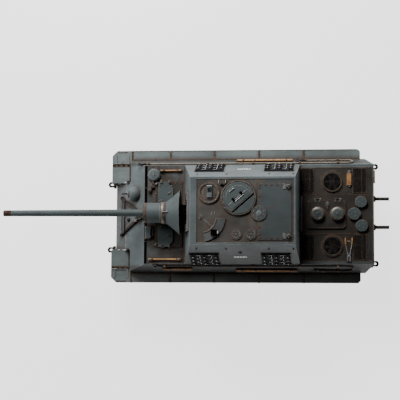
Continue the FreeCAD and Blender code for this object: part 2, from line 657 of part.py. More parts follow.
def fenders():
    """Front mudguards over the nose and a row of bolted plates along each sponson."""
    top = floor_z + fender_t
    inner_part = prism("mudguard_top", "XY_Plane",
                       [(guard_rear, guard_in), (guard_rear, flap_line), (guard_front, flap_line),
                        (guard_front, guard_in)], floor_z, top)
    lip = prism("mudguard_lip", "XZ_Plane",
                [(guard_front - fender_t, top), (guard_front, top), (guard_front + 2, floor_z - 12),
                 (guard_front + 2 - fender_t, floor_z - 12)], guard_in, flap_line - 1)
    cheek = prism("mudguard_cheek", "XZ_Plane",
                  [(guard_rear + 9, top), (guard_front - 1, top), (guard_front + 1, floor_z - 10),
                   (guard_front - 12, floor_z - 6)], guard_in - 1.4, guard_in)
    pieces = [fuse("mudguard", inner_part, lip, cheek)]
    for i in range(5):
        front = fender_joints[i] - gap
        rear = fender_joints[i + 1]
        flat = [(front, side_at(floor_z) - 1.5), (front, skirt_half), (rear, skirt_half),
                (rear, side_at(floor_z) - 1.5)]
        if i == 4:
            flat = [(front, side_at(floor_z) - 1.5), (front, skirt_half), (rear + 4, skirt_half),
                    (rear, skirt_half - 4), (rear, side_at(floor_z) - 1.5)]
        plate = prism(f"fender_plate_{i}", "XY_Plane", flat, floor_z - fender_t, floor_z)
        skirt = box(f"fender_skirt_{i}", (rear + 4 if i == 4 else rear, skirt_half - fender_t, floor_z - 9),
                    (front, skirt_half, floor_z))
        pieces.append(fuse(f"fender_{i}", plate, skirt))
    return both("fenders_all", group("fenders_left", *pieces))


def mudguard_flap(name, side):
    """Outer half of the front mudguard, hinged along its length, with a clipped corner."""
    top = floor_z + fender_t
    line = flap_line + gap
    flat = prism(name + "_top", "XY_Plane",
                 [(guard_rear, line), (guard_rear, skirt_half), (guard_front - 9, skirt_half),
                  (guard_front, skirt_half - 9), (guard_front, line)], floor_z, top)
    edge = box(name + "_edge", (guard_rear, skirt_half - fender_t, floor_z - 9),
               (guard_front - 9, skirt_half, top))
    straps = [box(f"{name}_strap_{i}", (x, line, top), (x + 3, skirt_half - 8, top + 0.9))
              for i, x in enumerate((guard_rear + 4, guard_front - 8))]
    pin = cylinder(name + "_pin", 1.1, guard_front - guard_rear - 6,
                   (guard_rear + 3, flap_line + 1.5, top + 0.4), "x")
    item = fuse(name + "_solid", flat, edge, pin, *straps)
    return item if side > 0 else mirror(name + "_right", item)


# --- Roof ---
def commander_ring():
    """Turning ring with a low wall round the commander's hatch and the fixed part behind its hinge."""
    base = roof_seat - roof_plate
    ring = spin("commander_ring_body",
                [(hatch_r - 3, base), (ring_r, base), (ring_r, roof_seat + gap),
                 (ring_r + 1.2, roof_seat + gap), (ring_r + 1.2, roof_seat + 3),
                 (hatch_r + 0.6, roof_seat + 3), (hatch_r + 0.6, roof_seat + 1),
                 (hatch_r - 3, roof_seat + 1)], ORIGIN)
    fixed = common("fixed_segment", cylinder("fixed_disc", hatch_r + 1, 2.4, (0, 0, roof_seat + 0.5)),
                   box("fixed_side", (-ring_r, hinge_line + 1.6, roof_seat),
                       (ring_r, ring_r, roof_seat + 4)))
    return place(fuse("commander_ring_solid", ring, fixed), (hatch_x, hatch_y, 0), "z", hatch_turn)


def commander_hatch():
    """Round lid cut off along its slanting hinge, with two hinge straps."""
    base = roof_seat + 1 + gap
    disc = cut("hatch_disc_cut", cylinder("hatch_disc", hatch_r, 2.6, (0, 0, 0)),
               box("hatch_disc_back", (-ring_r, hinge_line - 1.5, -1), (ring_r, ring_r, 4)))
    handle = box("hatch_handle", (-7, -16, 2.5), (7, -13.5, 4.2))
    straps = [box(f"hatch_strap_{i}", (x, -8, 2.5), (x + 4, hinge_line, 3.8))
              for i, x in enumerate((-13, 9))]
    pin = cylinder("hatch_pin", 1.2, 34, (-17, hinge_line, 2.6), "x")
    lid = fuse("commander_lid", disc, handle, pin, *straps)
    return place(lid, (hatch_x, hatch_y, base), "z", hatch_turn)


def periscope():
    """Turning periscope mount with a rectangular hood."""
    base = roof_seat - roof_plate
    ring = spin("scope_ring", [(0, base), (scope_r - 4, base), (scope_r - 4, roof_seat + gap),
                               (scope_r, roof_seat + gap), (scope_r, roof_seat + 2.6),
                               (scope_r - 3, roof_seat + 2.6), (scope_r - 3, roof_seat + 1.4),
                               (0, roof_seat + 1.4)], ORIGIN)
    hood = prism("scope_hood", "XZ_Plane", [(-6, roof_seat + 1), (7, roof_seat + 1), (7, roof_seat + 6),
                                            (2, roof_seat + 6), (-6, roof_seat + 3)], -5.5, 5.5)
    return place(fuse("periscope_solid", ring, hood), (scope_x, scope_y, 0), "z", 25)


def sight_cover():
    """Arc-shaped cover that follows the gun round its own pin."""
    low = roof_seat + gap
    arc = cut("sight_arc", cylinder("sight_disc", sight_out, 2.2, (0, 0, low)),
              cylinder("sight_middle", sight_in, 4, (0, 0, low - 1)))
    wedge = prism("sight_wedge", "XY_Plane", [(0, 0), (-54, 2), (-70, 60), (-10, 57)],
                  low, low + 2.2)
    head = prism("sight_head", "XZ_Plane", [(-5, low), (5, low), (5, low + 7), (0, low + 7), (-5, low + 4)],
                 -4.5, 4.5)
    place(head, (-23, 26, 0))
    reach = sight_in + 4
    bar = [(1.3, 1.5), (-1.3, -1.5), (-0.766 * reach - 1.3, 0.643 * reach - 1.5),
           (1.3 - 0.766 * reach, 0.643 * reach + 1.5)]
    spoke = cut("sight_spoke", prism("sight_spoke_bar", "XY_Plane", bar, low, low + 1.6),
                cylinder("sight_pivot_hole", 2 + gap, 4, (0, 0, low - 1)))
    hub = cut("sight_hub", cylinder("sight_hub_disc", 5, 1.6, (0, 0, low)),
              cylinder("sight_hub_hole", 2 + gap, 4, (0, 0, low - 1)))
    item = fuse("sight_cover_solid", common("sight_sector", arc, wedge), spoke, hub, head)
    return place(item, (sight_x, sight_y, 0), "z", 0)


# --- Engine deck ---
def engine_deck():
    """Deck plate with slatted air grilles, fan wells and filler caps."""
    high = deck_z
    low = deck_z - deck_plate + 0.01
    plate = box("engine_plate", (deck_rear + 1.8, gap - engine_deck_half, low),
                (case_rear - gap, engine_deck_half - gap, high))
    hatch_well = box("engine_hatch_well", (engine_hatch_rear + 4, 4 - engine_hatch_half, low - 1),
                     (engine_hatch_front - 4, engine_hatch_half - 4, high + 1))
    cuts = [hatch_well]
    for i, (x, y) in enumerate(((fan_x, fan_y), (fan_x, -fan_y))):
        cuts.append(cylinder(f"fan_well_{i}", fan_r - 1.4, 6, (x, y, low - 2)))
    for i, front in enumerate((case_rear - 2, deck_rear + 33)):
        for side in (-1, 1):
            for slot in range(7):
                x = front - grille_bars * slot
                near, far = engine_hatch_half + 11, engine_deck_half - 2
                if side < 0:
                    near, far = -far, -near
                cuts.append(box(f"slot_{i}_{side + 1}_{slot}", (x - 2, near, low - 1),
                                (x - 0.4, far, high + 1)))
    spars = [box(f"fan_spar_{i}", (fan_x - fan_r - 1, y - 1.2, low - 1.6),
                 (fan_x + fan_r + 1, y + 1.2, low))
             for i, y in enumerate((fan_y, -fan_y))]
    caps = [cylinder(f"filler_cap_{i}", r, 4.4, (x, y, high - 0.01))
            for i, (x, y, r) in enumerate(((-285, -20.5, 9.3), (-273.5, 0, 10), (-286, 20.5, 9.6)))]
    rings = [spin(f"fan_ring_{i}", [(fan_r - 1.4, low), (fan_r + 1.6, low), (fan_r + 1.6, high + 1.4),
                                    (fan_r - 1.4, high + 1.4)], (fan_x, y, 0))
             for i, y in enumerate((fan_y, -fan_y))]
    return fuse("engine_deck_solid", cut("engine_plate_cut", plate, *cuts), *caps, *rings, *spars)


def engine_hatch():
    """Hinged engine cover with two mushroom air caps."""
    low = deck_z + gap
    half = engine_hatch_half
    mushrooms = (engine_hatch_front - engine_hatch_len * 0.273,
                 engine_hatch_rear + engine_hatch_len * 0.212)
    outline = [(engine_hatch_front - 4, -half), (engine_hatch_front, 4 - half),
               (engine_hatch_front, half - 4), (engine_hatch_front - 4, half),
               (engine_hatch_rear + 4, half), (engine_hatch_rear, half - 4),
               (engine_hatch_rear, 4 - half), (engine_hatch_rear + 4, -half)]
    lid = prism("engine_lid", "XY_Plane", outline, low, low + 2)
    mushroom = [(0, low + 1.9), (engine_cap_r - 4, low + 1.9), (engine_cap_r - 4, low + 4),
                (engine_cap_r, low + 4), (engine_cap_r, low + 7), (engine_cap_r - 3, low + 8.4),
                (0, low + 8.8)]
    caps = [spin(f"mushroom_cap_{i}", mushroom, (x, 0, 0)) for i, x in enumerate(mushrooms)]
    hinges = [cylinder(f"engine_hinge_{i}", 1.6, 9, (x - 3, -half - 1, low + 1.6), "x")
              for i, x in enumerate(mushrooms)]
    return fuse("engine_hatch_solid", lid, *caps, *hinges)


def fan_blade(name, turn, height):
    """Flat blade from a fan's hub outwards, pitched about its own length."""
    blade = Part.makeBox(float(fan_r) - 4.6, 4.4, 0.8, Vector(2, -2.2, -0.6))
    blade.rotate(Vector(0, 0, 0), Vector(1, 0, 0), 12)
    blade.rotate(Vector(0, 0, 0), Vector(0, 0, 1), turn)
    blade.translate(Vector(0, 0, float(height)))
    return feature(name, blade)


def cooling_fans():
    """Two bladed fans under the deck rings, each on its boss and spokes."""
    fans = []
    low = deck_z + 0.2
    for i, y in enumerate((fan_y, -fan_y)):
        blades = [fan_blade(f"fan_{i}_blade_{k}", 60 * k, low) for k in range(6)]
        hub = cylinder(f"fan_{i}_hub", 4, low + 1.4 - deck_z + deck_plate,
                       (0, 0, deck_z - deck_plate + 0.01))
        fan = fuse(f"fan_{i}", hub, *blades)
        fans.append(place(fan, (fan_x, y, 0)))
    return group("cooling_fans_pair", *fans)


def exhaust_pipes():
    """Two short tailpipes that leave the rear plate and point straight back."""
    pipes = []
    for i, y in enumerate((pipe_left, pipe_right)):
        pipe = cylinder(f"pipe_{i}", pipe_r, -302 - pipe_tip, (pipe_tip, y, deck_z - 12), "x")
        bore = cylinder(f"pipe_bore_{i}", pipe_r - 0.8, 15, (pipe_tip - 1, y, deck_z - 12), "x")
        guard = cylinder(f"pipe_guard_{i}", pipe_r + 2.2, 8, (-310, y, deck_z - 12), "x")
        pipes.append(cut(f"tailpipe_{i}", fuse(f"pipe_blank_{i}", pipe, guard), bore, rear_face_tool(i)))
    return group("exhaust_pipes_pair", *pipes)


def rear_face_tool(i):
    """The space in front of the sloped rear plate."""
    return prism(f"rear_face_{i}", "XZ_Plane",
                 [(belly_rear, belly_z), (deck_rear, deck_z), (deck_rear, deck_z + 20), (-200, deck_z + 20),
                  (-200, belly_z)], -40, 40)


# --- Running gear ---
def road_wheel(name, index, side):
    """Twin-rimmed steel wheel; the pair of rims straddles one row of guide horns."""
    start = outer_row if index % 2 == 0 else inner_row
    far = start + 2 * rim_width + rim_gap
    bore = axle_r + 0.05
    dish = 2.5 if index % 2 == 0 else 0.8
    profile = [(bore, start), (wheel_r, start), (wheel_r, start + rim_width), (hub_r, start + rim_width),
               (hub_r, far - rim_width), (wheel_r, far - rim_width), (wheel_r, far), (wheel_r - 4, far),
               (wheel_r - 7, far - dish), (hub_r, far - dish), (hub_r - 1, far + 0.6), (bore, far + 0.6)]
    wheel = spin(name, profile, (wheel_x - wheel_pitch * index, 0, wheel_z), "y")
    return wheel if side > 0 else mirror(name + "_right", wheel)


def sprocket(name, side):
    """Drive wheel with two toothed rings; the teeth stand in the gaps beside the connector links."""
    root = sprocket_r - shoe_t / 2 - gap
    tooth_tip = sprocket_r + 1.2
    parts = []
    for i, low in enumerate((track_in + 1.2, track_out - 5.2)):
        ring = cylinder(f"{name}_ring_{i}", root, 4, (0, low, 0), "y")
        teeth = [prism(f"{name}_tooth_{i}_{k}", "XZ_Plane",
                       [(root - 2, -3), (tooth_tip, -1.3), (tooth_tip, 1.3), (root - 2, 3)], low, low + 4)
                 for k in range(9)]
        for k, tooth in enumerate(teeth):
            tooth.Placement = FreeCAD.Placement(Vector(0, float(low), 0), Rotation(Vector(0, 1, 0), 40 * k))
        parts += [ring] + teeth
    drum = cylinder(name + "_drum", hub_r + 3, track_out - track_in - 2.4, (0, track_in + 1.2, 0), "y")
    cap = cone(name + "_cap", hub_r, hub_r - 2, 3, (0, track_out - 3, 0), "y")
    bore = cylinder(name + "_bore", axle_r + 0.05, 2 * skirt_half, (0, 0, 0), "y")
    wheel = cut(name + "_solid", fuse(name + "_blank", *parts, drum, cap), bore)
    place(wheel, (sprocket_x, 0, sprocket_z))
    return wheel if side > 0 else mirror(name + "_right", wheel)


def idler(name, side):
    """Rear tensioning wheel whose twin rims run between the two rows of horns."""
    rim = idler_r - shoe_t / 2 - gap
    near = inner_row + 2 * rim_width + rim_gap - 5.5
    far = outer_row + 5
    profile = [(axle_r + 0.05, near - 12), (hub_r, near - 12), (hub_r, near), (rim, near), (rim, near + 4),
               (hub_r + 4, near + 4), (hub_r + 4, far - 4), (rim, far - 4), (rim, far), (hub_r, far),
               (hub_r - 1, far + 10), (axle_r + 0.05, far + 10)]
    wheel = spin(name, profile, (idler_x, 0, idler_z), "y")
    return wheel if side > 0 else mirror(name + "_right", wheel)


def track_path():
    """Stations along the track: tangent runs and arcs round sprocket, end road wheels and idler."""
    contact = float(wheel_r + gap + shoe_t / 2)
    last = float(wheel_x - 8 * wheel_pitch)
    circles = [(float(sprocket_x), float(sprocket_z), float(sprocket_r)),
               (float(idler_x), float(idler_z), float(idler_r)),
               (last, float(wheel_z), contact), (float(wheel_x), float(wheel_z), contact)]
    spans = []
    for i, (x, z, r) in enumerate(circles):
        nx, nz, nr = circles[(i + 1) % 4]
        run = math.hypot(nx - x, nz - z)
        lean = math.atan2(nz - z, nx - x) - math.pi / 2 + math.asin((r - nr) / run)
        spans.append(lean % (2 * math.pi))
    pieces = []
    for i, (x, z, r) in enumerate(circles):
        start = spans[i - 1]
        turn = (spans[i] - start) % (2 * math.pi)
        pieces.append(("arc", x, z, r, start, turn, r * turn))
        nx, nz, nr = circles[(i + 1) % 4]
        first = (x + r * math.cos(spans[i]), z + r * math.sin(spans[i]))
        second = (nx + nr * math.cos(spans[i]), nz + nr * math.sin(spans[i]))
        pieces.append(("run", *first, *second, math.dist(first, second)))
    return pieces


def station(pieces, along):
    """Point and outward angle at a distance along the track path."""
    for piece in pieces:
        if along <= piece[-1]:
            break
        along -= piece[-1]
    if piece[0] == "arc":
        angle = piece[4] + along / piece[3]
        return piece[1] + piece[3] * math.cos(angle), piece[2] + piece[3] * math.sin(angle), angle
    part_way = along / piece[-1]
    x = piece[1] + (piece[3] - piece[1]) * part_way
    z = piece[2] + (piece[4] - piece[2]) * part_way
    return x, z, math.atan2(piece[4] - piece[2], piece[3] - piece[1]) - math.pi / 2


def wedge(x_half, height, low, high, base):
    """Guide horn: a ridge across the shoe's travel, pointed inwards."""
    face = Part.makePolygon([Vector(-x_half, low, -base), Vector(x_half, low, -base),
                             Vector(0, low, -base - height), Vector(-x_half, low, -base)])
    return Part.Face(face).extrude(Vector(0, high - low, 0))


def track(name, side):
    """Closed chain of separate shoes: broad ones with guide horns, narrow connectors between them."""
    half = float(shoe_len) / 2
    thick = float(shoe_t)
    low = float(track_in)
    high = float(track_out)
    broad = Part.makeBox(2 * half, high - low, thick, Vector(-half, low, -thick / 2))
    for row in (inner_row, outer_row):
        middle = float(row + rim_width + rim_gap / 2)
        broad = broad.fuse(wedge(3.4, float(horn_h), middle - 1.2, middle + 1.2, thick / 2 - 0.2))
    broad = broad.removeSplitter()
    narrow = Part.makeBox(2 * half, high - low - 14, thick - 0.8, Vector(-half, low + 7, -thick / 2 + 0.4))
    pieces = track_path()
    total = sum(piece[-1] for piece in pieces)
    front = pieces[0][3] * ((2 * math.pi - pieces[0][4]) % (2 * math.pi))
    count = 2 * round(total / float(shoe_pitch) / 2)
    shoes = []
    for k in range(count):
        x, z, angle = station(pieces, (front + k * total / count) % total)
        shoe = (narrow if k % 2 == 0 else broad).copy()
        shoe.Placement = FreeCAD.Placement(Vector(x, 0, z),
                                           Rotation(Vector(0, 1, 0), 90 - math.degrees(angle)))
        shoe.translate(Vector(0, 0, max(0, -shoe.BoundBox.ZMin)))
        if side < 0:
            shoe = shoe.mirror(Vector(0, 0, 0), Vector(0, 1, 0))
        shoes.append(shoe)
    return feature(name, Part.makeCompound(shoes))


# --- Stowage ---
def tube_path(points, radius):
    """Straight runs through the points, each corner rounded as widely as its shorter run allows."""
    edges = []
    corner = [Vector(*[float(v) for v in point]) for point in points]
    start = corner[0]
    for before, here, after in zip(corner, corner[1:], corner[2:]):
        into = (here - before).normalize()
        out = (after - here).normalize()
        turn = into.getAngle(out)
        reach = 0.45 * min((here - before).Length, (after - here).Length)
        first = here - into * reach
        last = here + out * reach
        bend = reach / math.tan(turn / 2)
        inward = (out - into).normalize()
        middle = here + inward * (bend / math.cos(turn / 2) - bend)
        edges.append(Part.LineSegment(start, first).toShape())
        edges.append(Part.Arc(first, middle, last).toShape())
        start = last
    edges.append(Part.LineSegment(start, corner[-1]).toShape())
    path = Part.Wire(edges)
    direction = (corner[1] - corner[0]).normalize()
    ring = Part.Wire([Part.makeCircle(radius, corner[0], direction)])
    return path.makePipeShell([ring], True, True)


LEAN = math.atan(float(side_slope))


def on_side(shape, x, height, side, stand_off=0.0):
    """Lay a shape made flat in X and Z (its Y outwards) against the sloped side."""
    if side < 0:
        shape = shape.mirror(Vector(0, 0, 0), Vector(0, 1, 0))
    shape.rotate(Vector(0, 0, 0), Vector(1, 0, 0), math.degrees(side * LEAN))
    y, z = off_side(height, stand_off)
    shape.translate(Vector(x, side * y, z))
    return shape


def off_side(height, stand_off):
    """Y and Z of a point that stands off the left side's surface."""
    return float(side_at(height)) + stand_off * math.cos(LEAN), height + stand_off * math.sin(LEAN)


EYE_REACH = 4.2
CABLE_BEND_X = float(deck_rear) + 35.5
CABLE_HIGH = float(deck_z) - float(deck_plate) - 3.6
CABLE_LOW = float(floor_z) + 12.5
CABLE_RUNS = ((1, 66, -212), (-1, 96, -182))


def eye_loop():
    """Flat thimble at the end of a tow cable."""
    outer = Part.makeCylinder(EYE_REACH + 0.8, 2.4, Vector(0, 0, 0), Vector(0, 1, 0))
    return outer.cut(Part.makeCylinder(EYE_REACH - 1.6, 4, Vector(0, -1, 0), Vector(0, 1, 0)))


def cable_route(front, end):
    """X and height of a tow cable: back along the side, round near the rear and forward again below."""
    return ((front, CABLE_HIGH - 0.4), (18, CABLE_HIGH + 0.2), (-60, CABLE_HIGH - 0.2),
            (-140, CABLE_HIGH + 0.1), (CABLE_BEND_X + 52, CABLE_HIGH - 0.1),
            (CABLE_BEND_X + 22, CABLE_HIGH + 0.2), (CABLE_BEND_X, CABLE_HIGH - 0.2),
            (CABLE_BEND_X, CABLE_LOW), (CABLE_BEND_X + 22, CABLE_LOW - 0.5),
            (CABLE_BEND_X + 41, CABLE_LOW + 0.3), (end, CABLE_LOW))


def cable_tube(side, route, radius):
    """A tow cable's rope on its route along the side, at its real stand-off, with a given radius."""
    points = []
    for x, height in route:
        y, z = off_side(height, float(cable_r) + float(gap))
        points.append((x, side * y, z))
    return tube_path(points, radius)


def tow_cables():
    """One steel cable along each sponson side with a thimble at each end."""
    shapes = []
    for side, front, end in CABLE_RUNS:
        cable = cable_tube(side, cable_route(front, end), float(cable_r))
        for x, height in ((front + EYE_REACH, CABLE_HIGH), (end + EYE_REACH, CABLE_LOW)):
            cable = cable.fuse(on_side(eye_loop(), x, height, side, float(gap)))
        shapes.append(cable)
    return feature("tow_cables_shape", Part.makeCompound(shapes))


def spare_links():
    """Four groups of spare track shoes hung in rows on the casemate sides."""
    shapes = []
    groups = ((1, -44), (1, -166), (-1, -52), (-1, -171))
    for side, rear in groups:
        for row in range(3):
            for k in range(5):
                shoe = Part.makeBox(float(shoe_len), 3, 12.4, Vector(0, 0, -6.2))
                if k % 2 == 0:
                    rib = Part.makeBox(2.2, 1.6, 9, Vector(3.2, 2.9, -4.5))
                    shoe = shoe.fuse(rib)
                x = rear + 0.6 + k * 9.9
                shapes.append(on_side(shoe, x, 119 + 12.6 * row * math.cos(LEAN), side))
    return feature("spare_links_shape", Part.makeCompound(shapes))


def cable_clips():
    """Small saddles that hold the tow cables to the sponson sides."""
    clips = []
    for side, front, end in CABLE_RUNS:
        rope = cable_tube(side, cable_route(front, end), float(cable_r) + 0.02)
        high_clips = [(x, CABLE_HIGH) for x in (front - 12, -20, -100, -180, CABLE_BEND_X + 26)]
        for x, height in high_clips + [(CABLE_BEND_X + 26, CABLE_LOW), (end - 8, CABLE_LOW)]:
            clip = Part.makeBox(3, 3.6, 6, Vector(-1.5, 0, -3))
            clips.append(on_side(clip, x, height, side).cut(rope))
    return clips


def rod(x0, x1, y, z, radius=None):
    """A round bar along the vehicle."""
    return Part.makeCylinder(radius or float(rod_r), x1 - x0, Vector(x0, y, z), Vector(1, 0, 0))


def saddle(x, y, z):
    """Bracket under a deck rod, open round the rod."""
    block = Part.makeBox(3, 4.4, z - float(deck_z) + 0.6, Vector(x, y - 2.2, float(deck_z)))
    return block.cut(rod(x - 1, x + 4, y, z, float(rod_r) + 0.02))


def stowed_tools():
    """Wooden rods on the front deck, cleaning rods on the sponsons, hammer and wire cutters."""
    deck = float(deck_z)
    shapes = []
    for x0, x1, y in ((24.5, 82, 78.2), (24, 62.8, -76.6)):
        z = deck + 2.6
        shapes += [rod(x0, x1, y, z), saddle(x0 + 6, y, z), saddle(x1 - 9, y, z)]
    for side, x0, x1, height in ((1, -176, -69, 90), (-1, -168, -70, 89), (1, 7, 58, 95)):
        y, z = off_side(height, float(rod_r) + 1.2)
        shapes.append(rod(x0, x1, side * y, z))
        for x in (x0 + 10, x1 - 13):
            clip = on_side(Part.makeBox(3, 5, 4.4, Vector(0, 0, -2.2)), x, height, side)
            shapes.append(clip.cut(rod(x - 1, x + 4, side * y, z, float(rod_r) + 0.02)))
    tool_x = float(fan_x) - 29
    tool_end = float(engine_deck_half) - 6
    handle = Part.makeCylinder(1.5, tool_end - 51, Vector(tool_x, 5 - tool_end, deck + 1.5),
                               Vector(0, 1, 0))
    head = Part.makeBox(9, 5, 4, Vector(tool_x - 4.5, -tool_end, deck))
    shapes.append(handle.fuse(head))
    for x in (tool_x - 3.1, tool_x + 2.1):
        shapes.append(Part.makeBox(3, tool_end - 41, 2.6, Vector(x, 40, deck)))
    shapes.append(Part.makeBox(9.4, 8, 3.4, Vector(tool_x - 3.7, tool_end - 1, deck)))
    return feature("stowed_tools_shape", Part.makeCompound(shapes))


def hex_bolt(x, y, z, radius=1.3, height=1.1):
    """Six-sided bolt head standing on a flat."""
    corners = [Vector(x + radius * math.cos(k * math.pi / 3), y + radius * math.sin(k * math.pi / 3), z)
               for k in range(7)]
    return Part.Face(Part.makePolygon(corners)).extrude(Vector(0, 0, height))


def fasteners():
    """Cable clips, and bolt heads round the rear roof plate, the engine deck and the belly hatch."""
    shapes = cable_clips()
    top = float(roof_seat) + 1.3
    front = float(rear_plate_front)
    back = float(rear_plate_back)
    for k in range(5):
        x = back + 14 + k * (front - back - 18) / 4
        for y in (float(rear_plate_left) - 3, 3 - float(rear_plate_right)):
            shapes.append(hex_bolt(x, y, top))
    for y in (-38, -24, 28, 40):
        shapes.append(hex_bolt(front - 3, y, top))
    near = float(engine_hatch_half) + 9
    far = float(engine_deck_half) - 5
    for ahead, y in ((32, -far), (32, -near), (32, near), (32, far), (-29, -near), (-29, near)):
        shapes.append(hex_bolt(float(fan_x) + ahead, y, float(deck_z)))
    for x in (float(battery_front) - 5, float(battery_rear) + 5):
        for y in (5 - float(battery_half), float(battery_half) - 5):
            shapes.append(hex_bolt(x, y, float(belly_z) - 1.1))
    return feature("fasteners_shape", Part.makeCompound(shapes))


# --- Inside and underneath ---
def battery_hatch():
    """Belly cover, flush in its opening and screwed to the ledge."""
    return box("battery_hatch_solid", (battery_rear + gap, gap - battery_half, belly_z),
               (battery_front - gap, battery_half - gap, belly_z + wall))


def battery_pack():
    """Three round cells side by side in a tray on the battery cover."""
    low = belly_z + wall
    cells = [cylinder(f"cell_{i}", 8, battery_front - battery_rear - 14,
                      (battery_rear + 7, 16.1 * (i - 1), low + 8), "x") for i in range(3)]
    tray = box("cell_tray", (battery_rear + 6, 6 - battery_half, low),
               (battery_front - 6, battery_half - 6, low + 3))
    return fuse("battery_pack_solid", tray, *cells)


def control_board():
    """Circuit board on posts, with its heat sink, chips and the sound unit."""
    low = belly_z + wall
    posts = [cylinder(f"board_post_{i}", 2.5, 10, (x, y, low)) for i, (x, y) in
             enumerate(((-225, -30), (-225, 30), (-160, -30), (-160, 30)))]
    board = box("board", (-230, -36, low + 10), (-155, 36, low + 11.6))
    parts = [box("chip", (-200, -10, low + 11.5), (-184, 10, low + 14)),
             box("heat_sink", (-176, -24, low + 11.5), (-162, 4, low + 20))]
    speaker = cylinder("speaker", 20, 8, (-245, 0, low + 22))
    foot = box("speaker_foot", (-262, -12, low), (-250, 12, low + 23))
    return group("control_board_solids", fuse("board_assembly", board, *posts, *parts),
                 fuse("sound_unit", speaker, foot))


def drive_units():
    """Left and right gearboxes with their motors, feet on the tub floor."""
    low = belly_z + wall
    case = box("gearbox_case", (86, tub_half - wall - 16, low + 2), (126, tub_half - wall, floor_z - 4))
    foot = box("gearbox_foot", (70, tub_half - wall - 20, low), (98, tub_half - wall, low + 4))
    motor = cylinder("drive_motor", 11, 30, (98, tub_half - wall - 46, sprocket_z), "y")
    front = prism("gearbox_slope", "XZ_Plane",
                  [(belly_front - wall - gap, belly_z + wall), (nose_x - 2 * wall - gap, nose_z),
                   (nose_x + 20, nose_z), (nose_x + 20, belly_z), (belly_front - wall - gap, belly_z)],
                  0, tub_half + 5)
    unit = cut("drive_unit", fuse("drive_unit_blank", case, foot, motor), front)
    return both("drive_units_pair", unit)


# --- All sub-parts ---
node(lower_hull(), "lower_hull")
node(suspension(), "suspension")
node(upper_hull(), "upper_hull")
node(casemate_roof(), "casemate_roof")
node(front_deck_plate(), "front_deck_plate")
node(crew_hatch("driver", 1), "driver_hatch")
node(crew_hatch("operator", -1), "operator_hatch")
node(gun_turntable(), "gun_turntable")
node(gun_mantlet(), "gun_mantlet")
node(gun_barrel(), "gun_barrel")
node(travel_lock(), "travel_lock")
node(bow_gun_ball(), "bow_gun_ball")
node(bow_gun_barrel(), "bow_gun_barrel")
node(fenders(), "fenders")
node(mudguard_flap("left_flap", 1), "left_mudguard_flap")
node(mudguard_flap("right_flap", -1), "right_mudguard_flap")
for label, x, y, z, turn, reach in (
        ("front_left_shackle", shackle_x, tub_half + 1, nose_z, 0, 7),
        ("front_right_shackle", shackle_x, -tub_half - 1, nose_z, 0, 7),
        ("rear_left_shackle", rear_eye_x, rear_eye_y, rear_eye_z, 180, 7),
        ("rear_right_shackle", rear_eye_x, -rear_eye_y, rear_eye_z, 180, 7)):
    node(shackle(label + "_solid", x, y, z, turn, reach), label)
node(commander_ring(), "commander_ring")
node(commander_hatch(), "commander_hatch")
node(periscope(), "periscope")
node(sight_cover(), "sight_cover")
node(engine_deck(), "engine_deck")
node(engine_hatch(), "engine_hatch")
node(cooling_fans(), "cooling_fans")
node(exhaust_pipes(), "exhaust_pipes")
node(tow_cables(), "tow_cables")
node(spare_links(), "spare_links")
node(stowed_tools(), "stowed_tools")
node(fasteners(), "fasteners")
node(battery_hatch(), "battery_hatch")
node(battery_pack(), "battery_pack")
node(control_board(), "control_board")
node(drive_units(), "drive_units")
for hand, side in (("left", 1), ("right", -1)):
    for i in range(9):
        node(road_wheel(f"{hand}_wheel_{i + 1}_solid", i, side), f"{hand}_road_wheel_{i + 1}")
    node(sprocket(f"{hand}_sprocket_solid", side), f"{hand}_sprocket")
    node(idler(f"{hand}_idler_solid", side), f"{hand}_idler")
    node(track(f"{hand}_track_solid", side), f"{hand}_track")

# --- Check and write ---
doc.recompute()
for item in doc.Objects:
    if "Invalid" in item.State or "Error" in item.State:
        raise RuntimeError(f"{item.Name} failed: {item.State}")
for item in nodes:
    if item.Shape.isNull() or not item.Shape.isValid():
        raise RuntimeError(f"{item.Label} has no valid shape")
for item in nodes:
    item.Shape.exportStep(f"parts/{item.Label}.step")
print(f"{len(nodes)} sub-parts written")
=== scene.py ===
"""Looks of the radio-controlled tank destroyer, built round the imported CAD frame."""
import json
import math

import bmesh
import bpy
from mathutils import Matrix, Vector


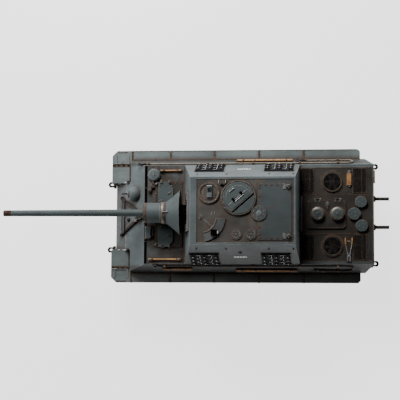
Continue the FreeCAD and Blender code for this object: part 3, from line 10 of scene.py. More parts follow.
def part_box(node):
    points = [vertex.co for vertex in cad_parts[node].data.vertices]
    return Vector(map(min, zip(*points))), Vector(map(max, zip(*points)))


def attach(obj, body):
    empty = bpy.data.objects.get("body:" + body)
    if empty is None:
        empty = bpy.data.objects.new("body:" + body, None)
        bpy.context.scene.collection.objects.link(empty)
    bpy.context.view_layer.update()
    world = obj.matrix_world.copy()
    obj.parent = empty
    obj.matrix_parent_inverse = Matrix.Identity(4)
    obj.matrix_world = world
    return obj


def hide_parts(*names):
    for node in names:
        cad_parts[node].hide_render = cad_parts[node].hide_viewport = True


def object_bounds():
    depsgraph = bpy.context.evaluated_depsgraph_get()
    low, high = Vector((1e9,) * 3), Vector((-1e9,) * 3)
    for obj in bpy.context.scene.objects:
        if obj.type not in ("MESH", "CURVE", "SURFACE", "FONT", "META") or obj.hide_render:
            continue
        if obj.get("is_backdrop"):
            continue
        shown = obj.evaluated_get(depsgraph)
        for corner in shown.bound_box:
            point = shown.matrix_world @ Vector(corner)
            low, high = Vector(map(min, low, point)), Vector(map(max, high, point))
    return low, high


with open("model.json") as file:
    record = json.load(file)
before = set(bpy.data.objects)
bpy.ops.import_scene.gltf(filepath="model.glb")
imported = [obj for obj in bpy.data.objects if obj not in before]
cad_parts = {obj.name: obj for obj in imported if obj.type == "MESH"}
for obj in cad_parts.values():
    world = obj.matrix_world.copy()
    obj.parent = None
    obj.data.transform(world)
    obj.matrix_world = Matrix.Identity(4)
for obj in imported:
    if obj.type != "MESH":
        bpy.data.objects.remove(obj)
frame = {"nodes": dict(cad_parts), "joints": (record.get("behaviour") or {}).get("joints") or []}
CAD_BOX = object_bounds()
MM = 0.001


# --- Materials ---
class Shader:
    """A node tree with short calls for the few nodes that the materials use."""

    def __init__(self, name):
        self.material = bpy.data.materials.new(name)
        self.material.use_nodes = True
        self.tree = self.material.node_tree
        self.surface = self.tree.nodes["Principled BSDF"]
        self.place = self.tree.nodes.new("ShaderNodeTexCoord").outputs["Object"]

    def node(self, kind, inputs=(), **settings):
        made = self.tree.nodes.new(kind)
        for key, value in settings.items():
            setattr(made, key, value)
        for key, value in dict(inputs).items():
            self.set(made.inputs[key], value)
        return made

    def set(self, socket, value):
        if isinstance(value, bpy.types.NodeSocket):
            self.tree.links.new(value, socket)
        elif socket.type == "RGBA":
            socket.default_value = (*value, 1)
        else:
            socket.default_value = value

    def noise(self, scale, detail=4.0, rough=0.6, stretch=(1, 1, 1)):
        scaled = self.node("ShaderNodeMapping", {"Vector": self.place, "Scale": stretch})
        return self.node("ShaderNodeTexNoise", {"Vector": scaled.outputs[0], "Scale": scale,
                                                "Detail": detail, "Roughness": rough}).outputs["Fac"]

    def ramp(self, value, low, high, start=0.0, end=1.0):
        return self.node("ShaderNodeMapRange", {"Value": value, "From Min": low, "From Max": high,
                                                "To Min": start, "To Max": end}).outputs["Result"]

    def fall(self, value, low, high, start=1.0):
        """From start below low down to 0 above high."""
        return self.ramp(value, low, high, start, 0.0)

    def math(self, operation, first, second=0.0):
        return self.node("ShaderNodeMath", {0: first, 1: second}, operation=operation).outputs[0]

    def times(self, first, second):
        return self.math("MULTIPLY", first, second)

    def axes(self):
        """X, Y and Z of the place that is shaded, in metres."""
        return self.node("ShaderNodeSeparateXYZ", {0: self.place}).outputs

    def mix(self, share, first, second):
        made = self.node("ShaderNodeMix", {0: share, 6: first, 7: second}, data_type="RGBA")
        return made.outputs[2]

    def crevice(self, reach):
        """1 deep in corners, 0 on open faces."""
        open_sky = self.node("ShaderNodeAmbientOcclusion", {"Distance": reach}, samples=6).outputs["AO"]
        return self.fall(open_sky, 0.35, 0.95)

    def edge(self, radius):
        """1 on sharp edges, 0 on flat faces."""
        rounded = self.node("ShaderNodeBevel", {"Radius": radius}, samples=4).outputs["Normal"]
        flat = self.node("ShaderNodeNewGeometry").outputs["Normal"]
        agree = self.node("ShaderNodeVectorMath", {0: rounded, 1: flat}, operation="DOT_PRODUCT")
        return self.fall(agree.outputs["Value"], 0.93, 0.998)

    def bump(self, height, strength, distance=0.0004):
        return self.node("ShaderNodeBump", {"Height": height, "Strength": strength,
                                            "Distance": distance}).outputs["Normal"]

    def finish(self, colour, rough, normal, metal=0.0, shine=0.5):
        settings = {"Base Color": colour, "Roughness": rough, "Normal": normal, "Metallic": metal,
                    "Specular IOR Level": shine}
        for name, value in settings.items():
            self.set(self.surface.inputs[name], value)
        return self.material


RUST = (0.24, 0.11, 0.045)
# Dark rust for stains and hollows in the paint, and also painted shade in the wood's corners.
DARK_RUST_AND_SHADE = (0.085, 0.035, 0.016)
# Near-black used for grime streaks, and also as painted shade in corners and on shaded sides.
GRIME_AND_SHADE = (0.018, 0.014, 0.011)


def weathered_paint(name, light, dark, rust=0.8, grime_and_shade=0.9, wear=0.0007, edge=(0.3, 0.31, 0.3),
                    rusty_edge=0.5, zone=None):
    """Matt paint: mottling, dust, streaks, grime and painted shade in corners, pale worn edges that are partly
    painted highlights; zone shades part of it.
    """
    s = Shader(name)
    broad = s.noise(14, 3)
    streaks = s.noise(45, 5, 0.65, (0.35, 1.6, 1.0))
    fine = s.noise(420, 4, 0.7)
    if zone:
        light, dark = zone(s, light, dark)
    colour = s.mix(s.ramp(broad, 0.35, 0.65), dark, light)
    colour = s.mix(s.ramp(streaks, 0.5, 0.78, 0.0, 0.38), colour, GRIME_AND_SHADE)
    stain = s.times(s.ramp(s.noise(95, 5, 0.7), 0.54, 0.7), s.ramp(broad, 0.45, 0.6))
    colour = s.mix(s.times(stain, 0.45 * rust), colour, DARK_RUST_AND_SHADE)
    halo = s.times(s.crevice(0.014), s.ramp(fine, 0.3, 0.6, 0.35, 0.75))
    colour = s.mix(s.times(halo, rust), colour, DARK_RUST_AND_SHADE)
    # Painted shade: corners and creases are darkened as if in shadow, together with grime.
    corner = s.times(s.crevice(0.005), s.ramp(fine, 0.3, 0.6, 0.7, 1.0))
    colour = s.mix(s.times(corner, grime_and_shade), colour, GRIME_AND_SHADE)
    # Pale worn paint on edges; it also paints in the bright highlights that the edges catch.
    worn = s.times(s.edge(wear), s.ramp(s.noise(150, 4, 0.7), 0.36, 0.56))
    edges = s.mix(s.ramp(s.noise(60, 3), 0.4, 0.6, 0.0, rusty_edge), edge, RUST)
    colour = s.mix(s.times(worn, 0.85), colour, edges)
    rough = s.ramp(fine, 0.3, 0.7, 0.5, 0.72)
    return s.finish(colour, rough, s.bump(fine, 0.25), 0.0, 0.22)


def roof_zone(s, light, dark):
    """Rust brown dirt over the front of the roof, clear of the bolted rear plate."""
    ahead = s.axes()[0]
    wander = s.ramp(s.noise(60, 4, 0.7), 0.3, 0.7, -0.012, 0.012)
    share = s.ramp(s.math("ADD", ahead, wander), -0.121, -0.105)
    share = s.times(share, s.ramp(s.noise(38, 4, 0.65), 0.36, 0.6, 0.35, 1.0))
    return s.mix(share, light, (0.07, 0.06, 0.05)), s.mix(share, dark, (0.028, 0.022, 0.017))


def side_zone(s, light, dark):
    """Painted shadow of the hull on the left fender, and both fenders darker along the hull, behind the
    mudguards.
    """
    x, y, _ = s.axes()
    inner = s.fall(s.math("ABSOLUTE", y), 0.1, 0.1085, 0.65)
    # Painted shadow over the left fender (y > 0); the strip along the hull is darker on both fenders.
    share = s.math("MAXIMUM", s.ramp(y, 0.0, 0.02, 0.0, 0.45), inner)
    share = s.times(share, s.fall(x, 0.11, 0.119))
    return s.mix(share, light, GRIME_AND_SHADE), s.mix(share, dark, GRIME_AND_SHADE)


def hull_zone(s, light, dark):
    """Painted shadow round the gun port, dirt on the front deck, darker towards the bottom of both sides, and
    painted shade down the left side.
    """
    x, y, z = s.axes()
    # Painted shadow: near-black round the gun port, where the bell shades the plate behind it.
    wide = s.fall(s.math("ABSOLUTE", y), 0.033, 0.038)
    tall = s.times(s.ramp(z, 0.114, 0.12), s.fall(z, 0.139, 0.142))
    port = s.times(s.times(wide, tall), s.ramp(x, 0.0, 0.002))
    port = s.times(port, s.fall(x, 0.026, 0.03))
    level = s.times(s.ramp(z, 0.1085, 0.1095), s.fall(z, 0.1115, 0.1125))
    deck = s.times(s.times(level, s.ramp(x, 0.018, 0.021)), s.fall(x, 0.086, 0.089))
    deck = s.times(deck, s.ramp(s.noise(40, 4, 0.65), 0.38, 0.6, 0.45, 1.0))
    # Darker towards the bottom of both sides, by the fenders.
    foot = s.times(s.fall(z, 0.101, 0.108, 0.6), s.ramp(s.math("ABSOLUTE", y), 0.086, 0.09))
    # Painted shade: the left side, which faces away from the light, is darkened.
    left = s.times(s.ramp(y, 0.05, 0.075, 0.0, 0.45), s.fall(x, 0.06, 0.09))
    grime_and_shade = s.math("MAXIMUM", foot, left)
    pair = []
    for colour, mud in ((light, (0.036, 0.034, 0.03)), (dark, (0.018, 0.016, 0.014))):
        colour = s.mix(deck, colour, mud)
        colour = s.mix(grime_and_shade, colour, GRIME_AND_SHADE)
        # Near-black painted shadow at the gun port.
        pair.append(s.mix(port, colour, (0.004, 0.004, 0.004)))
    return pair


def rusty_metal(name, light, dark, metal=0.55):
    """Blotchy rusted steel."""
    s = Shader(name)
    blotch = s.noise(170, 6, 0.75)
    fine = s.noise(900, 3, 0.7)
    colour = s.mix(s.ramp(blotch, 0.38, 0.62), dark, light)
    # Painted shade and grime darken the corners.
    colour = s.mix(s.times(s.crevice(0.003), 0.8), colour, GRIME_AND_SHADE)
    return s.finish(colour, s.ramp(fine, 0.3, 0.7, 0.6, 0.9), s.bump(blotch, 0.5), metal, 0.3)


def worn_steel(name, body, bright, wear=0.0005, metal=0.75, shine=0.5, painted_left_shade=False):
    """Dark metal rubbed bright along its edges, with grime and painted shade in its corners, and painted shade
    on the left if asked.
    """
    s = Shader(name)
    blotch = s.noise(240, 5, 0.7)
    colour = s.mix(s.ramp(blotch, 0.35, 0.65), body, [0.45 * c for c in body])
    # Painted shade and grime darken the corners.
    colour = s.mix(s.times(s.crevice(0.003), 0.7), colour, GRIME_AND_SHADE)
    colour = s.mix(s.times(s.edge(wear), s.ramp(blotch, 0.4, 0.6)), colour, bright)
    # Painted shade: the left side, which faces away from the light, is darkened.
    if painted_left_shade:
        across = s.axes()[1]
        colour = s.mix(s.ramp(across, -0.02, 0.02, 0.0, 0.9), colour, GRIME_AND_SHADE)
    return s.finish(colour, s.ramp(blotch, 0.3, 0.7, 0.38, 0.62), s.bump(blotch, 0.3), metal, shine)


def oiled_wood(name):
    """Orange wood with fine grain along the tool."""
    s = Shader(name)
    grain = s.noise(260, 6, 0.75, (0.12, 0.5, 1.0))
    colour = s.mix(s.ramp(grain, 0.35, 0.65), (0.15, 0.065, 0.02), (0.38, 0.19, 0.06))
    # Painted shade: the wood's corners are darkened with dark brown.
    colour = s.mix(s.times(s.crevice(0.002), 0.6), colour, DARK_RUST_AND_SHADE)
    return s.finish(colour, s.ramp(grain, 0.3, 0.7, 0.4, 0.6), s.bump(grain, 0.35))


def moulded(name, colour, rough=0.45, shine=0.5):
    """Plain moulded plastic or board with a fine texture."""
    s = Shader(name)
    fine = s.noise(700, 4, 0.6)
    broad = s.noise(60, 3)
    mixed = s.mix(s.ramp(broad, 0.35, 0.65), [0.6 * c for c in colour], colour)
    return s.finish(mixed, s.ramp(fine, 0.3, 0.7, rough - 0.08, rough + 0.12), s.bump(fine, 0.15), 0.0, shine)


def glass(name):
    """Dark periscope glass."""
    s = Shader(name)
    haze = s.noise(300, 3)
    colour = s.mix(s.ramp(haze, 0.4, 0.7), (0.004, 0.006, 0.008), (0.02, 0.03, 0.035))
    return s.finish(colour, s.ramp(haze, 0.3, 0.7, 0.06, 0.16), s.bump(haze, 0.02), 0.0, 0.8)


PAINT = weathered_paint("weathered_paint", (0.088, 0.109, 0.114), (0.05, 0.061, 0.063), zone=hull_zone)
ROOF_PAINT = weathered_paint("roof_paint", (0.038, 0.048, 0.05), (0.023, 0.028, 0.029), 1.0, 0.9, 0.0007,
                             (0.26, 0.22, 0.18), 0.4, roof_zone)
DECK_PAINT = weathered_paint("deck_paint", (0.07, 0.084, 0.088), (0.034, 0.035, 0.034), 1.0, 0.95)
DIRTY_PAINT = weathered_paint("dirty_deck_paint", (0.034, 0.032, 0.027), (0.011, 0.01, 0.008), 0.8, 0.95,
                              0.0006, (0.14, 0.11, 0.085), 0.4)
GUN_PAINT = weathered_paint("gun_paint", (0.051, 0.066, 0.067), (0.032, 0.041, 0.042), 0.3, 0.6)
# Lighter than the hull paint as painted light for the brightly lit fenders; side_zone paints the left fender's
# shadow.
FENDER_PAINT = weathered_paint("fender_paint", (0.125, 0.15, 0.152), (0.075, 0.088, 0.088), zone=side_zone)
WHEEL_PAINT = weathered_paint("wheel_paint", (0.095, 0.11, 0.115), (0.045, 0.045, 0.042), 0.9)
BELLY_PAINT = weathered_paint("belly_paint", (0.075, 0.085, 0.09), (0.04, 0.037, 0.033), 0.7)
RUSTY = rusty_metal("rusty_metal", (0.19, 0.085, 0.04), (0.06, 0.028, 0.016), 0.2)
OLD_BOLTS = rusty_metal("old_bolts", (0.12, 0.062, 0.036), (0.045, 0.026, 0.018), 0.2)
LOCK_RUST = rusty_metal("lock_rust", (0.026, 0.018, 0.014), (0.009, 0.007, 0.006), 0.1)
GREY_ROD = moulded("grey_rod", (0.075, 0.09, 0.094), 0.6, 0.1)
BURNT = rusty_metal("burnt_metal", (0.06, 0.028, 0.016), (0.012, 0.009, 0.008))
DARK_IRON = rusty_metal("dark_iron", (0.014, 0.009, 0.007), (0.005, 0.004, 0.004), 0.1)
SEAM = rusty_metal("seam_rust", (0.09, 0.053, 0.034), (0.03, 0.019, 0.013), 0.1)
TRACK = worn_steel("track_steel", (0.05, 0.043, 0.037), (0.4, 0.38, 0.36))
BLACK_LINKS = worn_steel("spare_link_steel", (0.006, 0.006, 0.007), (0.3, 0.3, 0.3), 0.0003, 0.2, 0.3)
STEEL = worn_steel("bright_steel", (0.2, 0.2, 0.2), (0.6, 0.6, 0.6))
# The last argument paints shade on the left rope, which faces away from the light.
CABLE = worn_steel("cable_steel", (0.26, 0.22, 0.17), (0.5, 0.45, 0.38), 0.0002, 0.2, 0.3, True)
WOOD = oiled_wood("oiled_wood")
BLACK = moulded("black_plastic", (0.008, 0.008, 0.009), 0.5, 0.15)
LINK_BLACK = moulded("link_black", (0.005, 0.005, 0.006), 0.6, 0.12)
# Deep black for dark parts, and painted shade where there is only shadow: the mantlet neck and the slot at the
# glacis top.
DEEP_BLACK_AND_SHADE = moulded("deep_black_and_shade", (0.002, 0.002, 0.002), 0.85, 0.0)
BOARD = moulded("green_board", (0.02, 0.12, 0.05), 0.35)
CELLS = moulded("cell_wrap", (0.03, 0.09, 0.3), 0.3)
WHITE_METAL = worn_steel("pale_bar", (0.42, 0.43, 0.43), (0.7, 0.7, 0.7), 0.0005, 0.3)
RIM_METAL = worn_steel("rim_metal", (0.17, 0.15, 0.13), (0.5, 0.47, 0.43))
PALE_BRASS = worn_steel("pale_brass", (0.17, 0.11, 0.06), (0.36, 0.27, 0.18), 0.0005, 0.3)
TYRE = worn_steel("tyre_steel", (0.09, 0.085, 0.08), (0.42, 0.4, 0.38))
WHITE = moulded("white_marking", (0.9, 0.9, 0.88), 0.6)
GLASS = glass("periscope_glass")


# --- Building pieces ---
def mm(*values):
    return Vector([value * MM for value in values])


AXES = {"x": Matrix.Rotation(math.pi / 2, 4, "Y"), "y": Matrix.Rotation(-math.pi / 2, 4, "X"), "z": Matrix()}


def at(x, y, z, axis="z", turn=0.0):
    """A frame at a point (mm) with its own Z along an axis, turned about it (degrees)."""
    return Matrix.Translation(mm(x, y, z)) @ AXES[axis] @ Matrix.Rotation(math.radians(turn), 4, "Z")


def arc(radius, first, last, steps, centre=0.0):
    """Points of an arc about (centre, 0), from one angle to another (degrees)."""
    angles = [math.radians(first + (last - first) * k / steps) for k in range(steps + 1)]
    return [(centre + radius * math.cos(angle), radius * math.sin(angle)) for angle in angles]


def circle(count, radius, first=0.0):
    """Even points of a circle, the first of them at an angle (degrees)."""
    return arc(radius, first, first + 360, count)[:-1]


def curved_band(inner, outer, first, last, steps, centre=0.0):
    """Outline between two arcs about one centre."""
    return arc(outer, first, last, steps, centre) + arc(inner, first, last, steps, centre)[::-1]


def frames_along(points):
    """Each point of a line with two directions square to the line, twisting as little as they can."""
    side = None
    for i, point in enumerate(points):
        run = (points[min(i + 1, len(points) - 1)] - points[max(i - 1, 0)]).normalized()
        side = run.orthogonal() if side is None else side - run * side.dot(run)
        side.normalize()
        yield point, side.copy(), run.cross(side)


def placed(name, data):
    """An object in the scene for a mesh, a lamp or a camera."""
    made = bpy.data.objects.new(name, data)
    bpy.context.scene.collection.objects.link(made)
    return made


class Piece:
    """A mesh put together from simple forms, in millimetres, then given a body and a material."""

    def __init__(self):
        self.mesh = bmesh.new()

    def skin(self, rings):
        """Faces through rings of places (metres), with a flat face at each end."""
        rings = [[self.mesh.verts.new(place) for place in ring] for ring in rings]
        for low, high in zip(rings, rings[1:]):
            for k in range(len(low)):
                after = (k + 1) % len(low)
                self.mesh.faces.new([low[k], low[after], high[after], high[k]])
        self.mesh.faces.new(rings[0][::-1])
        self.mesh.faces.new(rings[-1])
        return self

    def loft(self, sections, frame_at=Matrix()):
        return self.skin([[frame_at @ mm(*point) for point in section] for section in sections])

    def prism(self, outline, low, high, frame_at=Matrix()):
        return self.loft([[(u, v, height) for u, v in outline] for height in (low, high)], frame_at)

    def box(self, low, high, frame_at=Matrix(), shrink=0.0):
        """A block; shrink narrows its top."""
        (x0, y0, z0), (x1, y1, z1) = low, high
        return self.loft([[(x0 + s, y0 + s, z), (x1 - s, y0 + s, z), (x1 - s, y1 - s, z), (x0 + s, y1 - s, z)]
                          for s, z in ((0, z0), (shrink, z1))], frame_at)

    def lathe(self, profile, frame_at=Matrix(), steps=48):
        """A profile of (radius, height) turned about Z; it may start and end on the axis."""
        rings = []
        for radius, height in profile:
            places = [(0, 0)] if radius < 1e-6 else circle(steps, radius)
            rings.append([self.mesh.verts.new(frame_at @ mm(u, v, height)) for u, v in places])
        if len(rings[0]) > 1 and len(rings[-1]) > 1:
            rings.append(rings[0])
        for low, high in zip(rings, rings[1:]):
            for k in range(steps):
                spots = [(low, k), (low, k + 1), (high, k + 1), (high, k)]
                unique = list(dict.fromkeys(ring[i % len(ring)] for ring, i in spots))
                if len(unique) > 2:
                    self.mesh.faces.new(unique)
        return self

    def ring(self, inner, outer, bottom, top, frame_at=Matrix(), steps=48):
        """A flat ring, or a disc where the inner radius is 0."""
        return self.lathe([(inner, bottom), (outer, bottom), (outer, top), (inner, top)], frame_at, steps)

    def tube(self, points, radius, steps=10):
        """A round bar through points (metres)."""
        return self.skin([[point + (side * u + other * v) * MM for u, v in circle(steps, radius)]
                          for point, side, other in frames_along(points)])

    def bar(self, start, end, radius, steps=10, frame_at=Matrix()):
        return self.tube([frame_at @ mm(*start), frame_at @ mm(*end)], radius, steps)

    def bolt(self, x, y, z, radius=1.1, height=0.9, frame_at=Matrix()):
        """Six-sided head with a washer."""
        self.ring(0, radius * 1.35, 0, 0.25, frame_at @ at(x, y, z), 16)
        top = height + 0.15
        self.lathe([(0, 0.2), (radius, 0.2), (radius, height), (radius * 0.8, top), (0, top)],
                   frame_at @ at(x, y, z), 6)

    def rivets(self, places, z, radius=0.8, frame_at=Matrix()):
        for x, y in places:
            self.lathe([(0, -0.1), (radius, -0.1), (radius * 0.9, 0.35), (radius * 0.5, 0.6), (0, 0.7)],
                       frame_at @ at(x, y, z), 10)

    def object(self, name, material, body="hull", replaced="", bevel=0.15, smooth=35):
        """Close the mesh, soften its edges and hand it to the frame, where it may stand for a CAD node."""
        bmesh.ops.recalc_face_normals(self.mesh, faces=self.mesh.faces)
        data = bpy.data.meshes.new(name)
        self.mesh.to_mesh(data)
        self.mesh.free()
        made = placed(name, data)
        data.materials.append(material)
        data.shade_smooth()
        data.set_sharp_from_angle(angle=math.radians(smooth))
        if bevel:
            rounded = made.modifiers.new("soft_edges", "BEVEL")
            rounded.width = bevel * MM
            rounded.segments = 2
            rounded.limit_method = "ANGLE"
            rounded.angle_limit = math.radians(40)
            rounded.harden_normals = True
        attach(made, body)
        if replaced:
            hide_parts(replaced)


def low(node, axis):
    """A CAD node's lower limit along an axis (mm)."""
    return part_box(node)[0]["xyz".index(axis)] / MM


def high(node, axis):
    """A CAD node's upper limit along an axis (mm)."""
    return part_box(node)[1]["xyz".index(axis)] / MM


def middle(node, axis):
    return (low(node, axis) + high(node, axis)) / 2


JOINTS = {joint["name"]: joint for joint in frame["joints"]}


def pivot(joint):
    return [value / MM for value in JOINTS[joint]["pos_m"]]


# --- Finishes of the carried-over CAD nodes ---
SHACKLES = ("front_left_shackle", "front_right_shackle", "rear_left_shackle", "rear_right_shackle")
FINISHES = {
    PAINT: ("upper_hull",),
    FENDER_PAINT: ("fenders", "left_mudguard_flap", "right_mudguard_flap"),
    ROOF_PAINT: ("casemate_roof", "sight_cover", "commander_ring", "periscope"),
    DIRTY_PAINT: ("engine_deck", "front_deck_plate", "engine_hatch"),
    GUN_PAINT: ("gun_mantlet", "gun_barrel", "bow_gun_ball", "driver_hatch", "operator_hatch",
                "commander_hatch"),
    BELLY_PAINT: ("lower_hull", "battery_hatch", "suspension"),
    BLACK: ("gun_turntable", "drive_units", "bow_gun_barrel"),
    CELLS: ("battery_pack",),
    BOARD: ("control_board",),
    DARK_IRON: ("cooling_fans",),
    LOCK_RUST: ("travel_lock", "exhaust_pipes"),
    OLD_BOLTS: ("fasteners",),
    WOOD: ("stowed_tools",),
    CABLE: ("tow_cables",),
    BLACK_LINKS: ("spare_links",) + SHACKLES,
    TRACK: ("left_track", "right_track"),
    WHEEL_PAINT: tuple(name for name in frame["nodes"]
                       if "wheel" in name or "sprocket" in name or "idler" in name),
}
for finish, names in FINISHES.items():
    for name in names:
        frame["nodes"][name].data.materials.clear()
        frame["nodes"][name].data.materials.append(finish)


# --- Gun ---
GUN_Z = pivot("gun_elevation")[2]
GUN_LINE = at(0, 0, GUN_Z, "x")
SLEEVE_R, GUN_BORE_R = 17.5, 6.6
MUZZLE_X = high("gun_barrel", "x")


def bell_section(x, half_width, half_height, rise):
    return [(x, half_width * v, GUN_Z + rise + half_height * u) for u, v in circle(72, 1)]


def gun_mantlet():
    """Flared bell, stepped sleeve with its clamp bands, and the eye on top."""
    rear, front, tip = 22.5, 50.0, high("gun_mantlet", "x")
    half, tall, rise = high("gun_mantlet", "y"), 25.4, 4.0
    sections = [bell_section(rear, half - 2.4, tall - 2.0, rise)]
    for k in range(15):
        flare = (1 - k / 14) ** 1.15
        half_width = SLEEVE_R + (half - SLEEVE_R - 0.2) * flare
        half_height = SLEEVE_R + (tall - SLEEVE_R) * flare
        x = rear + (front - rear) * k / 14
        sections.append(bell_section(x, half_width, half_height, rise * flare))
    part = Piece().loft(sections)
    steps = ((-0.4, 25), (-0.4, 49), (1.9, 50), (1.9, 53.5), (0.9, 54.4), (0.9, 56.4), (0, 57.2), (0, 83.2),
             (-0.4, 83.9), (-4, 84.8), (-4.1, tip - 0.6), (-4.8, tip))
    outside = [(SLEEVE_R + out, x) for out, x in steps]
    part.lathe([(GUN_BORE_R, 25)] + outside + [(GUN_BORE_R, tip)], GUN_LINE, 72)
    part.object("mantlet_casting", GUN_PAINT, "gun_mantlet", "gun_mantlet", bevel=0.12)
    # The neck is deep black as painted shade in the gap behind the bell.
    Piece().ring(GUN_BORE_R, 14, -27, 24.5, GUN_LINE).object("mantlet_neck", DEEP_BLACK_AND_SHADE, "gun_mantlet")
    eye = Piece()
    top = GUN_Z + SLEEVE_R
    eye.lathe([(0, 0), (2.4, 0), (2.4, 2.4), (1.4, 3.2), (1.4, 5.6), (0, 6.4)], at(44, 0, top - 0.8), 20)
    eye.bar((37.5, 0, top + 1.8), (50.5, 0, top + 2.6), 0.9)
    eye.ring(0, 1.7, 0, 2.2, at(49.5, 0, top + 2.6, "x"), 16)
    eye.object("mantlet_eye_bolt", STEEL, "gun_mantlet")
    bands = Piece()
    for inner, outer, x0, x1 in ((-4.2, -2.1, 84.9, 86.1), (-0.3, 1.05, 55.0, 55.7), (-0.3, 0.15, 79.6, 83),
                                 (0, 2.1, 47, 49.8)):
        bands.ring(SLEEVE_R + inner, SLEEVE_R + outer, x0, x1, GUN_LINE)
    bands.object("mantlet_rust_bands", SEAM, "gun_mantlet", bevel=0)
    pale = Piece().ring(SLEEVE_R + 1.6, SLEEVE_R + 2.1, 50.6, 53.2, GUN_LINE)
    pale.object("mantlet_pale_band", RIM_METAL, "gun_mantlet", bevel=0)


def gun_barrel():
    """Tapered barrel with a burnt muzzle; it slides in the cradle."""
    root, muzzle, bore = 6.2, 5.3, 3.6
    taper_from, taper_to = 96.7, MUZZLE_X - 14
    profile = [(0, -39.3), (9.2, -39.3), (9.2, -27.3), (root, -27.3)]
    narrowing, run = muzzle - root, taper_to - taper_from
    profile += [(root + narrowing * k / 8, taper_from + run * k / 8) for k in range(9)]
    part = Piece().lathe(profile + [(0, taper_to)], GUN_LINE)
    part.object("barrel_tube", GUN_PAINT, "gun_barrel", "gun_barrel", bevel=0.1)
    tip = Piece()
    tip.lathe([(0, taper_to), (muzzle, taper_to), (muzzle + 0.05, MUZZLE_X - 1), (muzzle - 0.7, MUZZLE_X),
               (bore, MUZZLE_X), (bore, MUZZLE_X - 12), (0, MUZZLE_X - 12)], GUN_LINE)
    tip.object("barrel_muzzle", BURNT, "gun_barrel", bevel=0.1)


def bow_gun():
    """Machine gun's jacketed barrel and the rim of its ball mount."""
    line = at(*pivot("bow_gun_yaw"), "x")
    tube = Piece()
    tube.lathe([(0, -4), (1.4, -4), (1.4, 9), (1.15, 9.4), (1.15, 14.8), (0.6, 15.5), (0.6, 13), (0, 13)],
               line, 24)
    tube.object("bow_gun_tube", BLACK, "bow_gun_barrel", "bow_gun_barrel", bevel=0.05)
    rim = Piece().lathe([(6.35, 3.6), (7.6, 3.2), (7.9, 1.6), (6.35, 1.6)], line, 36)
    rim.object("bow_gun_rim", PAINT, bevel=0.1)


GLACIS_LEAN = Matrix.Rotation(math.atan(1 / 1.18), 4, "Y")


def travel_lock():
    """Rusty legs with dark feet, the cross rod, the open clamp for the barrel, and the knob beside them."""
    x, _, z = pivot("travel_lock_fold")
    base = at(x, 0, z) @ GLACIS_LEAN @ Matrix.Rotation(math.pi, 4, "Z")
    clamp_at = 50
    legs, feet = Piece(), Piece()
    for side in (-1, 1):
        outline = [(0, side * 34.6), (0, side * 31), (44, side * 3), (50, side * 3), (50, side * 6)]
        legs.prism(outline, -1.2, 1.2, base)
        feet.ring(0, 2.7, -2.4, 2.4, base @ at(0, side * 33, 0, "y"), 20)
        feet.box((38, side * 6 - 2.4, -1.4), (45, side * 6 + 2.4, 1.7), base, 0.4)
    feet.prism(curved_band(6.8, 9, 42, 318, 24, clamp_at), -1.2, 3.8, base)
    feet.object("lock_feet_and_clamp", BLACK_LINKS, "travel_lock", "travel_lock")
    rod = Piece().bar((10.5, -28, 1.4), (10.5, 28, 1.4), 1.5, frame_at=base)
    rod.object("lock_cross_rod", BLACK, "travel_lock", bevel=0)
    tab = Piece().box((36.5, -11.6, -1.4), (44.5, -7.2, 2.4), base, 0.4)
    tab.object("lock_catch_tab", RIM_METAL, "travel_lock")
    legs.object("lock_legs", LOCK_RUST, "travel_lock")
    Piece().bar((x, -31, z), (x, 31, z), 1.0).object("lock_hinge_rod", GREY_ROD, "travel_lock", bevel=0)
    foot = at(121.6, 6.8, 82.4) @ GLACIS_LEAN
    knob = Piece().lathe([(0, -0.5), (3.2, -0.5), (2.9, 2.2), (1.6, 3.4), (0, 3.6)], foot, 24)
    knob.object("glacis_knob", BLACK)


# --- Roof ---
ROOF_Z = 177.0


def commander_hatch():
    """Ring, fixed plate, and the lid with its rod, handle and two dark blocks."""
    centre = middle("commander_ring", "x"), middle("commander_ring", "y"), ROOF_Z
    mount, turned = at(*centre), at(*centre, turn=41)
    fixed = Piece().prism(arc(26.9, 30.5, 149.5, 16), 0.9, 3.6, turned)
    fixed.object("commander_fixed_plate", GUN_PAINT, "commander_ring")
    ring = Piece()
    ring.lathe([(23.6, -2.4), (28.7, -2.4), (28.7, 0.3), (30, 0.3), (30, 2.4), (29.4, 3), (27.4, 3),
                (27.2, 1), (23.6, 1)], mount, 72)
    ring.rivets(circle(20, 28.7), 2.9, 0.5, mount)
    ring.object("commander_ring_casting", ROOF_PAINT, "commander_ring", "commander_ring")
    rim = arc(26.4, 156.5, 383.5, 40)
    lid = Piece().prism(rim, 1.35, 3.7, turned)
    lid.prism([(0.8 * u, 0.8 * v) for u, v in rim], 3.6, 4.3, turned)
    lid.object("commander_lid", GUN_PAINT, "commander_hatch", "commander_hatch", bevel=0.3)
    irons = Piece().bar((-10, 1.8, 4.9), (9, 1.8, 4.9), 0.7, frame_at=turned)
    irons.box((-21, -1.9, 4.2), (21, -1.3, 4.5), turned)
    irons.tube([turned @ mm(x, -17, z) for x, z in ((-5, 4), (-5, 5.6), (5, 5.6), (5, 4))], 0.55)
    irons.object("commander_lid_irons", WHITE_METAL, "commander_hatch")
    slots = Piece()
    for x in (-10.2, 6.8):
        slots.box((x, -6, 4.2), (x + 3.8, 1.4, 5.4), turned)
    slots.box((-22, -2.9, 4.2), (22, -1.9, 4.4), turned)
    slots.object("commander_lid_slots", DEEP_BLACK_AND_SHADE, "commander_hatch", bevel=0)


